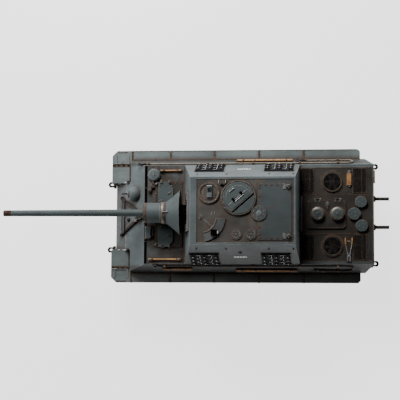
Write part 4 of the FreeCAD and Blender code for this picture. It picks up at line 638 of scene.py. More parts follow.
def periscope():
    """Turning mount with a hooded periscope and its glass."""
    mount = at(middle("periscope", "x"), middle("periscope", "y"), ROOF_Z)
    part = Piece()
    part.lathe([(0, -2.4), (14, -2.4), (14, 0.3), (18, 0.3), (18, 2.1), (17.4, 2.6), (15.4, 2.6), (15, 1.4),
                (0, 1.4)], mount, 60)
    part.ring(0, 11, 1.2, 2.2, mount)
    part.rivets(circle(8, 16.6), 2.5, 0.6, mount)
    part.object("periscope_mount", ROOF_PAINT, "periscope", "periscope")
    head = Piece().box((-5.6, -12, 1.3), (3.6, 8, 4.8), mount, 0.5)
    head.object("periscope_head", PAINT, "periscope", bevel=0.3)
    lip = Piece().box((-5.4, -12.9, 3.6), (3.4, -11, 5.8), mount, 0.2)
    lip.object("periscope_lip", WHITE_METAL, "periscope")
    pane = Piece().box((-4.4, -9.4, 4.7), (2.4, -1.2, 5.1), mount)
    pane.object("periscope_pane", GLASS, "periscope", bevel=0.05)


def sight_cover():
    """Curved sliding plate with its rail and spoke, and the sight's head with its catch."""
    x, y, _ = pivot("sight_cover_turn")
    centre, sight = at(x, y, ROOF_Z), at(x - 23, y + 26, ROOF_Z)
    rail = Piece().prism(curved_band(25.5, 27.4, 101, 177, 24), 2.2, 3.3, centre)
    rail.object("sight_cover_rail", RIM_METAL, "sight_cover", bevel=0.1)
    head = Piece().prism([(-5, 2.2), (5, 2.2), (5, 6.6), (4.2, 7.2), (0, 7.2), (-5, 4.2)], -4.4, 4.4,
                         sight @ Matrix.Rotation(math.pi / 2, 4, "X"))
    head.object("sight_head", DEEP_BLACK_AND_SHADE, "sight_cover", bevel=0.25)
    plate = Piece().prism(curved_band(25.5, 41.8, 101, 177, 24), 0.3, 2.3, centre)
    plate.box((-1.2, 4, 0.3), (1.2, 27, 0.7), at(x, y, ROOF_Z, turn=50))
    plate.ring(2.4, 4.2, 0.3, 0.7, centre, 32)
    plate.object("sight_cover_plate", DECK_PAINT, "sight_cover", "sight_cover", bevel=0.25)
    catch = Piece().box((-7.6, -2.6, 2.2), (-5.1, 2.6, 5), sight, 0.3)
    catch.object("sight_head_catch", WHITE_METAL, "sight_cover", bevel=0.1)


gun_mantlet()
gun_barrel()
bow_gun()
travel_lock()
commander_hatch()
periscope()
sight_cover()


# --- Seams, bolts and small fittings of the hull ---
FENDER_Z, DECK_Z = high("fenders", "z") - 1.4, 110.0
SLOPE = math.atan((high("upper_hull", "y") - 57.3) / (178 - FENDER_Z))
FRONT_SLOPE = 0.25
DECK, ROOF = at(0, 0, DECK_Z), at(0, 0, ROOF_Z)
CASEMATE_FRONT, CASEMATE_REAR = 19.0, -180.8


def outward(x, y, z, side):
    """A frame whose own Z points left (side 1) or right (side -1)."""
    return Matrix.Translation(mm(x, y, z)) @ Matrix.Rotation(-side * math.pi / 2, 4, "X")


def at_front(y, height, out):
    """A frame on the casemate's sloped front plate: Z straight out of it."""
    foot = CASEMATE_FRONT - FRONT_SLOPE * (height - DECK_Z)
    return at(foot + out, y, height) @ Matrix.Rotation(math.pi / 2 - math.atan(FRONT_SLOPE), 4, "Y")


def at_side(x, height, side):
    """A frame on the hull's sloped side: X along it, Y straight out of it, Z up it."""
    half = 99.8 - math.tan(SLOPE) * (height - FENDER_Z)
    frame_at = at(x, side * half, height) @ Matrix.Rotation(side * SLOPE, 4, "X")
    return frame_at @ Matrix.Diagonal((1, side, 1, 1))


def strip(piece, start, end, z, width=1.0, rise=0.25):
    """A low flat bead between two points at one height."""
    (x0, y0), (x1, y1) = start, end
    along = at(x0, y0, z, turn=math.degrees(math.atan2(y1 - y0, x1 - x0)))
    piece.box((0, -width / 2, -0.2), (math.hypot(x1 - x0, y1 - y0), width / 2, rise), along, 0.15)


def loop(piece, x0, x1, y0, y1, z, width=1.0, rise=0.25):
    """Beads round a rectangle."""
    corners = [(x0, y0), (x1, y0), (x1, y1), (x0, y1)]
    for start, end in zip(corners, corners[1:] + corners[:1]):
        strip(piece, start, end, z, width, rise)


ROOF_VENTS = ((-76, 39.5), (-101, 39.6))
DEFENCE_CAP = (-114, 4.5)
SIGHT_SWEEP = 44


def roof_seams():
    rust = Piece()
    x0, x1, y0, y1 = [limit("casemate_roof", axis) for axis in "xy" for limit in (low, high)]
    loop(rust, x0 - 0.3, x1 + 0.3, y0 - 0.3, y1 + 0.3, ROOF_Z, 1.3, 0.4)
    strip(rust, (-111.3, -46), (-111.3, 49), ROOF_Z, 1.0, 1.5)
    for (x, y), r in ((ROOF_VENTS[0], 10.2), (ROOF_VENTS[1], 10.2), (DEFENCE_CAP, 14)):
        rust.ring(r - 1.1, r, -0.1, 0.25, at(x, y, ROOF_Z), 40)
    rust.object("roof_seams", SEAM, bevel=0)


def roof_fittings():
    """Studs of the two vents and the defence cap, lifting eyes' plates, and two small tabs."""
    part = Piece()
    for x, y in ROOF_VENTS:
        top = at(x, y, ROOF_Z + 1.6)
        part.ring(6.3, 7, -0.2, 0.5, top, 32)
        part.rivets(circle(6, 4.6), 0, 0.9, top)
        part.ring(0, 1.5, -0.1, 0.8, top, 6)
    cap = at(*DEFENCE_CAP, ROOF_Z)
    part.lathe([(0, 0), (5.9, 0), (5.9, 2.2), (4.4, 2.9), (0, 2.9)], cap, 32)
    part.rivets(circle(8, 9.4, 22.5), 3.2, 0.8, cap)
    for y in (43, -40):
        part.box((-166, y - 4, 1.3), (-156, y + 4, 2.1), ROOF, 0.3)
        part.box((-158, y - 5, 1.3), (-154, y + 5, 2.4), ROOF, 0.3)
        part.rivets([(-164, y - 2.8), (-164, y + 2.8)], ROOF_Z + 2.1)
    for x, y in ((-35, 5), (-40, 4)):
        part.box((x, y - 2.4, -0.1), (x + 1, y + 2.4, 0.5), ROOF)
    part.object("roof_fittings", PAINT)


def roof_catch():
    catch, ears = Piece(), Piece()
    catch.box((-56.8, -50.6, 0), (-47.2, -46.4, 2.4), ROOF, 0.3)
    catch.box((-54.4, -46.6, 0), (-49.6, -41, 3), ROOF, 0.8)
    catch.object("roof_catch", DEEP_BLACK_AND_SHADE)
    for x in (-58.4, -46.8):
        ears.box((x, -51.6, 0), (x + 1.2, -45.8, 3.2), ROOF, 0.2)
    ears.object("roof_catch_ears", WHITE_METAL, bevel=0.1)


def roof_rivets():
    """Rows along the roof's edges, clear of the sight cover's swing and of the roof catch."""
    sight_x, sight_y, _ = pivot("sight_cover_turn")
    rows = [(-20 - k * 19, y) for k in range(9) for y in (52.4, -52.4)]
    rows = [(x, y) for x, y in rows if math.hypot(x - sight_x, y - sight_y) >= SIGHT_SWEEP]
    rows = [(x, y) for x, y in rows if y > 0 or not -70 < x < -35]
    rows += [(-9.5 if y % 24 else -10, y) for y in range(-48, 50, 12)]
    bolts = Piece()
    bolts.rivets(rows, ROOF_Z, 0.75)
    bolts.object("roof_rivets", RUSTY, bevel=0)


def casemate_details():
    """White bars and lugs on the sloped sides, pistol-port plug, foot seams and the gun collar's bolts."""
    for side, x in ((-1, -86), (1, -80.5)):
        mark, run = Piece(), -11.0
        for width in (2.6, 4.2, 3.4, 4.6, 3.0):
            mark.box((run, -0.05, -1.7), (run + width, 0.16, 1.7), at_side(x, 135, side))
            run += width + 1.1
        mark.object(f"white_marks_{'left' if side > 0 else 'right'}", WHITE, bevel=0)
    place = at_side(-81, 150, 1)
    plug = Piece().box((-2.2, 0, -2.2), (2.2, 2.4, 2.2), place, 0.4)
    plug.ring(0, 3.2, 0, 0.8, place @ AXES["y"], 24)
    plug.object("pistol_port_plug", BLACK_LINKS)
    seams = Piece()
    for x, width, rise in ((CASEMATE_FRONT + 0.4, 1.6, 0.5), (CASEMATE_REAR - 0.2, 1.4, 0.4)):
        strip(seams, (x, -83), (x, 83), DECK_Z, width, rise)
    seams.object("casemate_foot_seams", SEAM, bevel=0)
    collar = Piece()
    rows = [(y, height) for height in (145.5, 156.5, 167.5) for y in (-30.5, 30.5)]
    rows += [(y, 167.5) for y in (-15, 0, 15)]
    for y, height in rows:
        collar.bolt(0, 0, 0, 1.3, 0.7, at_front(y, height, 3.7))
    collar.object("gun_collar_bolts", OLD_BOLTS, bevel=0.05)
    lugs = Piece()
    for side in (-1, 1):
        for x in (-8, -58, -130, -171):
            place = at_side(x, 163, side) @ AXES["y"]
            lugs.lathe([(0, 0), (1.5, 0), (1.5, 1.2), (0.8, 1.8), (0, 1.8)], place, 16)
    lugs.object("casemate_side_lugs", PAINT)


def front_deck_seams():
    rust, dark = Piece(), Piece()
    loop(rust, low("front_deck_plate", "x") + 8, 71.6, -57.6, 57.6, DECK_Z + 0.1, 1.3, 0.5)
    for side in (-1, 1):
        strip(rust, (44, side * 60), (44, side * 88), DECK_Z, 0.9)
    rust.object("front_deck_seams", SEAM, bevel=0)
    for y0, y1 in ((-86, -47), (-47, -14), (14, 47), (47, 86)):
        strip(dark, (87.6, y0 + 0.4), (87.6, y1 - 0.4), DECK_Z, 4.6, 0.35)
    dark.object("glacis_top_shadow_line", DEEP_BLACK_AND_SHADE, bevel=0)


def front_plate_bolts():
    bolts = Piece()
    places = [(70.2, y) for y in (-54, -36, -18, 18, 36, 54)]
    places += [(x, y) for x in (36, 27) for y in (-54.5, 54.5)]
    for x, y in places:
        bolts.bolt(x, y, DECK_Z + 1.5, 1.0, 0.8)
    bolts.object("front_plate_bolts", RUSTY, bevel=0.05)


def ventilator():
    """Rim, button and foot rivets of the ventilator's cap, and its pipe."""
    pipe = Piece().box((71, -56, 1.8), (79, -46, 4.4), DECK, 0.6)
    pipe.bar((74, -58, DECK_Z + 3.4), (80, -41, DECK_Z + 3.4), 1.7)
    pipe.lathe([(0, 0), (3.4, 0), (3.4, 4.6), (2.2, 5.4), (0, 5.4)], at(80, -41, DECK_Z), 24)
    pipe.object("ventilator_pipe", DIRTY_PAINT)
    x, y, top = 73, -69, DECK_Z + 7.2
    part = Piece().ring(4.2, 4.9, -0.1, 0.5, at(x, y, top), 32)
    part.lathe([(0, 0), (2, 0), (1.6, 1.1), (0, 1.3)], at(x, y, top), 20)
    part.rivets(circle(10, 12.6), 0, 0.7, at(x, y, DECK_Z))
    part.object("ventilator_fittings", PAINT)


def crew_hatch_details():
    """Handle, hinges, rivets and latch of both crew hatches, and the driver's periscope hood."""
    for body, side in (("driver_hatch", 1), ("operator_hatch", -1)):
        lid, knob = Piece(), Piece()
        top, outer, middle_y = high(body, "z"), side * 56, side * 37.25
        lid.bar((44, middle_y - 2, top + 0.6), (49, middle_y + 1, top + 0.6), 0.6)
        for x in (44, 58):
            lid.box((x, outer - 4, top - 0.4), (x + 4, outer + 1.4, top + 0.9), shrink=0.3)
        lid.rivets([(x, side * y) for x in (62.5, 42) for y in (24, 50)], top)
        lid.object(f"{body}_fittings", GUN_PAINT, body)
        foot, y = DECK_Z + 1.4, side * 53
        knob.lathe([(0, 0), (1.5, 0), (1.9, 2.6), (1.2, 3.6), (0, 3.8)], at(68.6, y, foot), 20)
        knob.box((66.5, y - 4, foot), (69.5, y + 1, foot + 1.1), shrink=0.3)
        knob.object(f"{body}_latch", STEEL)
    hood = Piece().box((77.5, 21.5, 4.3), (87.5, 41.5, 5.3), DECK, 0.7)
    hood.box((74, 24, 1.3), (77.5, 39, 3), DECK, 0.3)
    hood.rivets([(x, y) for x in (79, 86) for y in (23, 40)], DECK_Z + 5.2, 0.7)
    hood.object("driver_periscope_hood", PAINT)


roof_seams()
roof_catch()
roof_fittings()
roof_rivets()
casemate_details()
front_deck_seams()
ventilator()
crew_hatch_details()
front_plate_bolts()


# --- Engine deck ---
FAN_X, FAN_Y, FAN_R = middle("cooling_fans", "x"), high("cooling_fans", "y") - 14.2, 16.8
FILLER_CAPS = ((-285, -20.5, 9.3), (-273.5, 0, 10), (-286, 20.5, 9.6))
LID_REAR, LID_FRONT = low("engine_hatch", "x"), high("engine_hatch", "x")
LID_LENGTH = LID_FRONT - LID_REAR
MUSHROOMS = (LID_FRONT - LID_LENGTH * 0.273, LID_REAR + LID_LENGTH * 0.212)


def grille(mesh, iron, side, x0, x1):
    """Frame, wire mesh and rivets of one air grille."""
    y0, y1 = sorted((35 * side, 80 * side))
    between, top = (y0 + y1) / 2, DECK_Z + 0.9
    loop(iron, x0 - 1.1, x1 + 1.1, y0 + 1, y1 - 1, DECK_Z, 1.5, 0.9)
    strip(iron, (x0 + 7, y0 + 1), (x0 + 7, y1 - 1), top, 0.7, 0.3)
    strip(iron, (x0, between - 3), (x1, between - 3), top, 0.7, 0.3)
    for k in range(14):
        x = x0 + (k + 0.5) * (x1 - x0) / 14
        mesh.bar((x, y0 + 1, DECK_Z + 0.55), (x, y1 - 1, DECK_Z + 0.55), 0.26, 6)
    for k in range(28):
        y = y0 + 1 + (k + 0.5) * (y1 - y0 - 2) / 28
        mesh.bar((x0, y, DECK_Z + 0.75), (x1, y, DECK_Z + 0.75), 0.24, 6)
    iron.rivets([(x, y) for x in (x0 - 1.1, x1 + 1.1) for y in (y0 + 3, between, y1 - 3)], DECK_Z + 0.8)


def fan_cover(mesh, iron, rim, rust, y):
    """Wire mesh, ring, studs and rust of one fan."""
    foot = at(FAN_X, y, DECK_Z)
    for k in range(-6, 7):
        reach = k * 2.35
        half = math.sqrt((FAN_R - 1.6) ** 2 - reach ** 2)
        mesh.bar((reach, -half, 1.7), (reach, half, 1.7), 0.28, 6, foot)
        mesh.bar((-half, reach, 1.95), (half, reach, 1.95), 0.28, 6, foot)
    iron.lathe([(FAN_R - 2.4, 1.3), (FAN_R + 0.9, 1.3), (FAN_R + 0.5, 2.5), (FAN_R - 2.0, 2.5)], foot, 60)
    rust.lathe([(FAN_R + 1.6, -0.1), (FAN_R + 3.6, -0.1), (FAN_R + 3.2, 0.3), (FAN_R + 1.6, 0.5)], foot, 60)
    rim.rivets(circle(12, FAN_R - 0.8), 2.4, 0.6, foot)
    for u, v in circle(4, FAN_R + 3.4, 45):
        rim.bolt(u, v, 0, 0.9, 0.8, foot)


def engine_deck_details():
    """Grilles, fans, the filler caps' lids, the bar at the casemate's foot, and rust round them."""
    mesh, rust, iron, rim, caps = Piece(), Piece(), Piece(), Piece(), Piece()
    front, rear, top = high("engine_deck", "x"), low("engine_deck", "x"), high("engine_deck", "z")
    loop(rust, rear + 0.6, front - 0.6, -80, 80, DECK_Z, 1.3, 0.4)
    for side in (-1, 1):
        strip(rust, (rear + 1, 33.4 * side), (front - 1, 33.4 * side), DECK_Z, 1.0, 0.35)
        for x1 in (front - 2.4, rear + 32.6):
            grille(mesh, iron, side, x1 - 20.6, x1)
        fan_cover(mesh, iron, rim, rust, FAN_Y * side)
    for x, y, r in FILLER_CAPS:
        rust.lathe([(r + 0.1, -0.1), (r + 1.3, -0.1), (r + 0.9, 0.3), (r + 0.1, 0.4)], at(x, y, DECK_Z), 40)
        caps.lathe([(0, -3), (r + 0.9, -3), (r + 0.9, 0.2), (r, 0.9), (0, 1.2)], at(x, y, top), 36)
        caps.rivets(circle(3, 4), 1.0, 0.6, at(x, y, top))
    mesh.object("deck_wire_mesh", DARK_IRON, bevel=0)
    iron.object("grille_frames", DIRTY_PAINT)
    rim.object("fan_ring_bolts", OLD_BOLTS, bevel=0)
    rust.object("engine_deck_seams", SEAM, bevel=0)
    caps.object("filler_cap_lids", GUN_PAINT)
    bar = Piece().box((-184.6, -31, -0.05), (-181.4, 30, 1.0), DECK, 0.4)
    bar.object("casemate_foot_bar", WHITE_METAL)


def engine_hatch_details():
    """Bright rims and studs of the mushroom caps, straps, hinges and the latch between them."""
    part, bright, tops, rust = Piece(), Piece(), Piece(), Piece()
    lid, top = low("engine_hatch", "z") + 2, high("engine_hatch", "z")
    _, hinge_y, hinge_z = pivot("engine_hatch_hinge")
    for x in MUSHROOMS:
        cap = at(x, 0, top)
        bright.lathe([(9.3, -2.0), (11.35, -2.0), (11.25, -0.9), (8.6, 0.25), (7.8, 0.25), (7.8, -0.4)], cap)
        tops.lathe([(0, -0.5), (7.8, -0.5), (7.8, 0.2), (7.0, 0.45), (0, 0.5)], cap)
        part.lathe([(0, -0.3), (2.3, -0.3), (2.3, 0.7), (1.2, 1.2), (0, 1.3)], cap, 24)
        part.rivets(circle(8, 5.6), 0.4, 0.55, cap)
        part.lathe([(7.4, -0.1), (13.2, -0.1), (12.8, 0.7), (7.4, 0.7)], at(x, 0, lid))
        for strap in (x - 5.4, x + 2.2):
            part.box((strap, hinge_y, lid - 0.1), (strap + 3.2, hinge_y + 5.5, lid + 1.1), shrink=0.4)
        part.bar((x - 6.6, hinge_y, hinge_z), (x + 6.6, hinge_y, hinge_z), 1.3)
    between = sum(MUSHROOMS) / 2
    part.box((between - 3.4, -20, lid - 0.1), (between + 3.4, -12.5, lid + 1.6), shrink=0.7)
    part.bar((between, -22, lid + 1.6), (between, -9, lid + 1.6), 0.9)
    part.rivets([(x, y) for x in (LID_REAR + 3, between, LID_FRONT - 3) for y in (-21, 21)], lid, 0.85)
    part.object("engine_hatch_fittings", DECK_PAINT, "engine_hatch")
    tops.object("mushroom_cap_tops", GUN_PAINT, "engine_hatch", bevel=0.1)
    bright.object("mushroom_rims", RIM_METAL, "engine_hatch")
    loop(rust, LID_REAR + 1.8, LID_FRONT - 1.8, -23.4, 23.4, lid, 0.8, 0.25)
    rust.object("engine_hatch_rust", SEAM, "engine_hatch", bevel=0)


engine_deck_details()
engine_hatch_details()


# --- Stowage on the sides and decks ---
CABLE_R, CABLE_HIGH, CABLE_LOW, CABLE_BEND = 1.3, 104.9, 89.5, low("tow_cables", "x") + 1.3
CABLE_OUT = CABLE_R + 0.3
ROPE_STEP, ROPE_STRANDS, ROPE_TWIST = 0.0014, 5, 0.75
SHOE_PITCH, SHOE_FOOT, SHOE_ROW = 9.9, 119, 12.6 * math.cos(SLOPE)


def smooth_line(points, step):
    """Even places along the smooth line that a cable's few route points give."""
    curve = bpy.data.curves.new("route", "CURVE")
    curve.dimensions = "3D"
    curve.resolution_u = 32
    line = curve.splines.new("NURBS")
    line.points.add(len(points) - 1)
    for knot, point in zip(line.points, points):
        knot.co = (*point, 1)
    line.order_u = 3
    line.use_endpoint_u = True
    holder = bpy.data.objects.new("route", curve)
    mesh = bpy.data.meshes.new_from_object(holder)
    raw = [vertex.co.copy() for vertex in mesh.vertices]
    bpy.data.meshes.remove(mesh)
    bpy.data.objects.remove(holder)
    bpy.data.curves.remove(curve)
    walked = [0.0]
    for first, second in zip(raw, raw[1:]):
        walked.append(walked[-1] + (second - first).length)
    count = round(walked[-1] / step)
    places, k = [], 0
    for i in range(count + 1):
        goal = walked[-1] * i / count
        while k < len(raw) - 2 and walked[k + 1] < goal:
            k += 1
        places.append(raw[k].lerp(raw[k + 1], (goal - walked[k]) / (walked[k + 1] - walked[k])))
    return places


def rope(piece, places, radius):
    """Twisted strands round a line of places."""
    paths = [[] for _ in range(ROPE_STRANDS)]
    for i, (point, side, other) in enumerate(frames_along(places)):
        spots = circle(ROPE_STRANDS, radius * 0.6, math.degrees(ROPE_TWIST * i))
        for path, (u, v) in zip(paths, spots):
            path.append(point + (side * u + other * v) * MM)
    for path in paths:
        piece.tube(path, radius * 0.42, 6)


def tow_cables():
    """Twisted steel ropes on their routes, each end held by a ferrule and a thimble."""
    ropes, ends = Piece(), Piece()
    for side, front, end in ((1, 66, -212), (-1, 96, -182)):
        route = ((front, CABLE_HIGH - 0.4), (18, CABLE_HIGH + 0.2), (-60, CABLE_HIGH - 0.2),
                 (-140, CABLE_HIGH + 0.1), (CABLE_BEND + 52, CABLE_HIGH - 0.1),
                 (CABLE_BEND + 22, CABLE_HIGH + 0.2), (CABLE_BEND, CABLE_HIGH - 0.2), (CABLE_BEND, CABLE_LOW),
                 (CABLE_BEND + 22, CABLE_LOW - 0.5), (CABLE_BEND + 41, CABLE_LOW + 0.3), (end, CABLE_LOW))
        points = [at_side(x, height, side) @ mm(0, CABLE_OUT, 0) for x, height in route]
        rope(ropes, smooth_line(points, ROPE_STEP), CABLE_R)
        for x, height in (route[0], route[-1]):
            lean = at_side(x, height, side)
            ends.lathe([(0, -8), (1.5, -8), (1.75, -7), (1.75, 0.4), (0, 0.4)],
                       lean @ at(0, CABLE_OUT, 0, "x"), 16)
            ends.lathe([(2.6, 0.7), (3.3, 0.3), (4.5, 0.3), (5, 1.0), (5, 2.0), (4.5, 2.7), (3.3, 2.7),
                        (2.6, 2.3)], lean @ at(4.2, 0, 0, "y"), 32)
    ropes.object("tow_ropes", CABLE, replaced="tow_cables", bevel=0, smooth=80)
    ends.object("tow_rope_eyes", BLACK_LINKS, bevel=0.1)


def spare_shoe(shoes, tops, place, guide):
    """One hung shoe with its webs and pin: two guide teeth in the middle, or one pad; the pale tops are
    painted highlights.
    """
    shoes.box((-4.2, 0, -5.9), (4.2, 1.7, 5.9), place, 0.3)
    for z in (-4.9, 3.7):
        shoes.box((-4.2, 1.5, z), (4.2, 3.2, z + 1.2), place, 0.25)
    # Pale boxes in tops are painted highlights on the teeth, the pad and the webs.
    if guide:
        for x in (-3.1, 1.5):
            shoes.box((x, 1.5, -3.2), (x + 1.6, 3.6, 3.2), place, 0.3)
        tops.box((-3.4, 3.1, 4.0), (3.2, 3.4, 4.7), place)
        tops.box((-3.0, 3.5, -2.4), (-1.6, 3.8, 0.6), place)
    else:
        shoes.box((-2.4, 1.5, -2.6), (2.4, 5.0, 2.6), place, 1.7)
        tops.box((-0.8, 4.4, -1.7), (1.1, 5.1, -0.3), place)
        tops.box((-2.6, 3.1, -4.8), (3.4, 3.4, -4.2), place)
    shoes.bar((4.9, 1.2, -5.7), (4.9, 1.2, 5.7), 0.85, 8, place)


def spare_links():
    """Four groups of hung track shoes, each on two rails."""
    shoes, rails, tops = Piece(), Piece(), Piece()
    for side, rear in ((1, -44), (1, -166), (-1, -52), (-1, -171)):
        for row in range(3):
            for k in range(5):
                place = at_side(rear + 4.9 + k * SHOE_PITCH, SHOE_FOOT + row * SHOE_ROW, side)
                spare_shoe(shoes, tops, place, k % 2)
        for z in (112.6, SHOE_FOOT + 2.55 * SHOE_ROW):
            rails.box((-26, 0, -0.6), (26, 1.3, 0.6), at_side(rear + 24.7, z, side), 0.2)
    shoes.object("spare_track_shoes", LINK_BLACK, replaced="spare_links", bevel=0.12)
    rails.object("spare_shoe_rails", DARK_IRON)
    # Pale painted highlights on the hung shoes.
    tops.object("spare_shoe_painted_highlights", WHITE_METAL, bevel=0)


def side_rods():
    """Pairs of jointed cleaning rods along the sponsons, and the two short poles on the front deck."""
    wood, metal, iron = Piece(), Piece(), Piece()
    for side, x0, x1, height in ((1, -176, -69, 90), (-1, -168, -70, 89), (1, 7, 58, 95)):
        run = x1 - x0
        for shift in (-1.55, 1.55):
            place = at_side(x0, height + shift, side)
            wood.bar((0, 2.4, 0), (run, 2.4, 0), 1.45, 12, place)
            for share in (0.0, 0.33, 0.66, 0.97):
                metal.bar((share * run, 2.4, 0), ((share + 0.03) * run, 2.4, 0), 1.65, 12, place)
        for x in (x0 + 11.5, x1 - 11.5):
            place = at_side(x, height, side)
            iron.box((-1.6, 0, -3.9), (1.6, 4.3, 3.9), place, 0.5)
            iron.bar((0, 1.5, 4.6), (0, 1.5, -4.6), 0.8, 8, place)
    z = DECK_Z + 2.6
    for x0, x1, y in ((24.5, 82, 78.2), (24, 62.8, -76.6)):
        wood.bar((x0 + 5, y, z), (x1 - 5, y, z), 1.5, 14)
        for x in (x0, x1 - 7):
            metal.lathe([(0, 0), (1.6, 0), (2.1, 0.8), (2.1, 6.2), (1.6, 7), (0, 7)], at(x, y, z, "x"), 20)
        for x in (x0 + 6, x1 - 9):
            iron.box((x, y - 2.6, 0), (x + 3, y + 2.6, 2.6), DECK, 0.3)
            iron.tube([mm(x + 1.5, y + 2.3 * u, z + 2.0 * v) for u, v in arc(1, 0, 180, 8)], 0.6, 8)
    wood.object("wooden_rods", WOOD, replaced="stowed_tools", bevel=0, smooth=60)
    metal.object("rod_ferrules", PALE_BRASS, bevel=0.1)
    iron.object("rod_brackets", SEAM)


def deck_tools():
    """Hammer on the right and wire cutters on the left of the engine deck."""
    wood, metal = Piece(), Piece()
    x = -265
    wood.box((x - 4.2, -70.5, 0.2), (x + 4.2, -49, 3.6), DECK, 0.7)
    metal.box((x - 2.4, -75, 0.1), (x + 2.4, -70.2, 3.4), DECK, 0.6)
    metal.box((x - 2, -49.2, 0.1), (x + 2, -46.6, 2.6), DECK, 0.5)
    for y in (-64, -50, 47, 68):
        metal.box((x - 3.4, y - 1.1, 0), (x + 4.4, y + 1.1, 0.7), DECK, 0.2)
    x += 1
    for sign in (-1, 1):
        bends = ((1.2, 74), (2.6, 66), (5.4, 52), (5.9, 41))
        arm = [mm(x + sign * reach, y, DECK_Z + 1.6) for reach, y in bends]
        metal.tube(arm[:3], 1.1)
        wood.tube(arm[2:], 1.6)
        jaw = x + sign * 2
        metal.box((jaw - 1.8, 73, 0.2), (jaw + 1.8, 81.6, 3.2), DECK, 0.8)
    metal.bolt(x, 72.5, 2.4, 1.5, 1.2, DECK)
    wood.object("tool_handles", WOOD, bevel=0, smooth=60)
    metal.object("tool_irons", STEEL)


# --- Fenders, mudguards and the ends of the hull ---
def fender_details():
    """Cover strips over the joints, the rusty line at the hull, rivets and the outer rolled edge."""
    seams, bolts, edges = Piece(), Piece(), Piece()
    edge, joints = high("fenders", "y"), (118.6, 49.6, -28.4, -107.4, -185.4, -280.5)
    for side in (-1, 1):
        for x in (117.6, 49, -29, -108, -186):
            y0, y1 = sorted((side * 99.6, side * (edge - 0.2)))
            seams.box((x - 2.0, y0, FENDER_Z - 0.1), (x + 1.6, y1, FENDER_Z + 0.5), shrink=0.3)
            outer = side * edge
            seams.box((x - 1.9, outer - 0.2, FENDER_Z - 8.6), (x + 1.5, outer + 0.3, FENDER_Z + 0.4))
            rows = [(x + shift, side * y) for y in (103, 108.5, 114) for shift in (-4, 3.6)]
            bolts.rivets(rows, FENDER_Z, 0.6)
        strip(seams, (-284, side * 100.4), (118, side * 100.4), FENDER_Z, 1.9, 0.7)
        y = side * (edge - 0.3)
        for first, last in zip(joints, joints[1:]):
            edges.bar((first - 1.6, y, FENDER_Z + 0.1), (last + 2.6, y, FENDER_Z + 0.1), 0.55, 8)
            quarter = (last - first) / 4
            bolts.rivets([(first + quarter * (k + 0.5), side * 103.6) for k in range(4)], FENDER_Z, 0.6)
    seams.object("fender_seams", SEAM, bevel=0.05)
    bolts.object("fender_rivets", PAINT, bevel=0)
    edges.object("fender_rolled_edges", PAINT, bevel=0)


def mudguard_details():
    """Hinge bands with their bolts, the seams behind the front mudguards and the bars of the towing eyes."""
    rust, bolts, dark, bars = Piece(), Piece(), Piece(), Piece()
    top = high("fenders", "z")
    for side in (-1, 1):
        strip(rust, (120.6, side * 90.4), (152.5, side * 90.4), top, 4.6, 0.5)
        strip(rust, (122.1, side * 62), (122.1, side * 88), top, 0.9, 0.35)
        for x in (122, 131, 140, 148):
            bolts.bar((x, side * 91.2, top + 0.9), (x + 4, side * 91.2, top + 0.9), 1.25, 12)
        for k in range(7):
            y = side * (62 + 4.1 * k)
            dark.box((119.8, y - 1.4, top - 0.1), (121.4, y + 1.4, top + 0.4))
        start, end = Vector((150, side * 59, 60.6)), Vector((122.5, side * 60.5, 83.8))
        bars.bar(start, end, 1.5, 12)
        for share in (0.08, 0.5, 0.95):
            x, y, z = start.lerp(end, share)
            dark.bar((x - 1.4, y, z + 1.2), (x + 1.4, y, z - 1.2), 2.3, 12)
    rust.object("mudguard_hinge_bands", SEAM, bevel=0)
    bolts.object("mudguard_knuckles", DARK_IRON, bevel=0.1)
    dark.object("mudguard_dark_fittings", BLACK_LINKS, bevel=0.1)
    bars.object("towing_bars", WHITE_METAL, bevel=0)
    for body, side in (("left_mudguard_flap", 1), ("right_mudguard_flap", -1)):
        flap = Piece().bar((127, side * 114.5, top + 0.3), (143, side * 114.5, top + 0.3), 0.7)
        flap.rivets([(x, side * 96) for x in (123, 135, 147)], top, 0.65)
        flap.object(f"{body}_fittings", PAINT, body)


def end_details():
    """The four shackles' bows and pin heads, and the rear hand rail."""
    for body in SHACKLES:
        pin, bow = Piece(), Piece()
        x, y, z = pivot(body + "_pin")
        for sign in (-1, 1):
            head = outward(x, y + sign * 4.2, z, sign)
            pin.lathe([(0, 0), (2.6, 0), (2.6, 2.2), (1.9, 2.8), (0, 2.8)], head, 6)
        ahead = math.copysign(1, x)
        half = (high(body, "y") - low(body, "y")) / 2 - 1.5
        bend = (high(body, "x") if x > 0 else low(body, "x")) - ahead * (half + 1.5)
        bow.tube([mm(bend + ahead * u, y + v, z) for u, v in arc(half, -90, 90, 12)], 2.1, 12)
        bow.object(f"{body}_forging", BLACK_LINKS, body, bevel=0)
        pin.object(f"{body}_pin_heads", BLACK_LINKS, body, bevel=0.1)
    rail = Piece().box((-309.4, -76, 105.4), (-306.6, -53, 107.8), shrink=0.3)
    for y in (-76, -54.6):
        rail.box((-306.8, y, 105.6), (-303.4, y + 1.6, 107.4))
    rail.object("rear_hand_rail", WOOD)


tow_cables()
spare_links()
side_rods()
deck_tools()
fender_details()
mudguard_details()
end_details()


# --- Running gear ---
ACROSS = Vector((0, 1, 0))
HANDS = (("left", 1), ("right", -1))


def outer_face(node, side):
    return high(node, "y") if side > 0 else low(node, "y")


def bolt_ring(piece, frame_at, radius, count, height, size=1.0):
    for u, v in circle(count, radius):
        piece.bolt(u, v, height, size, 0.9, frame_at)


def spokes(piece, frame_at, count, first, low, high):
    for k in range(count):
        piece.box(low, high, frame_at @ at(0, 0, 0, turn=first + 360 * k / count), 0.3)


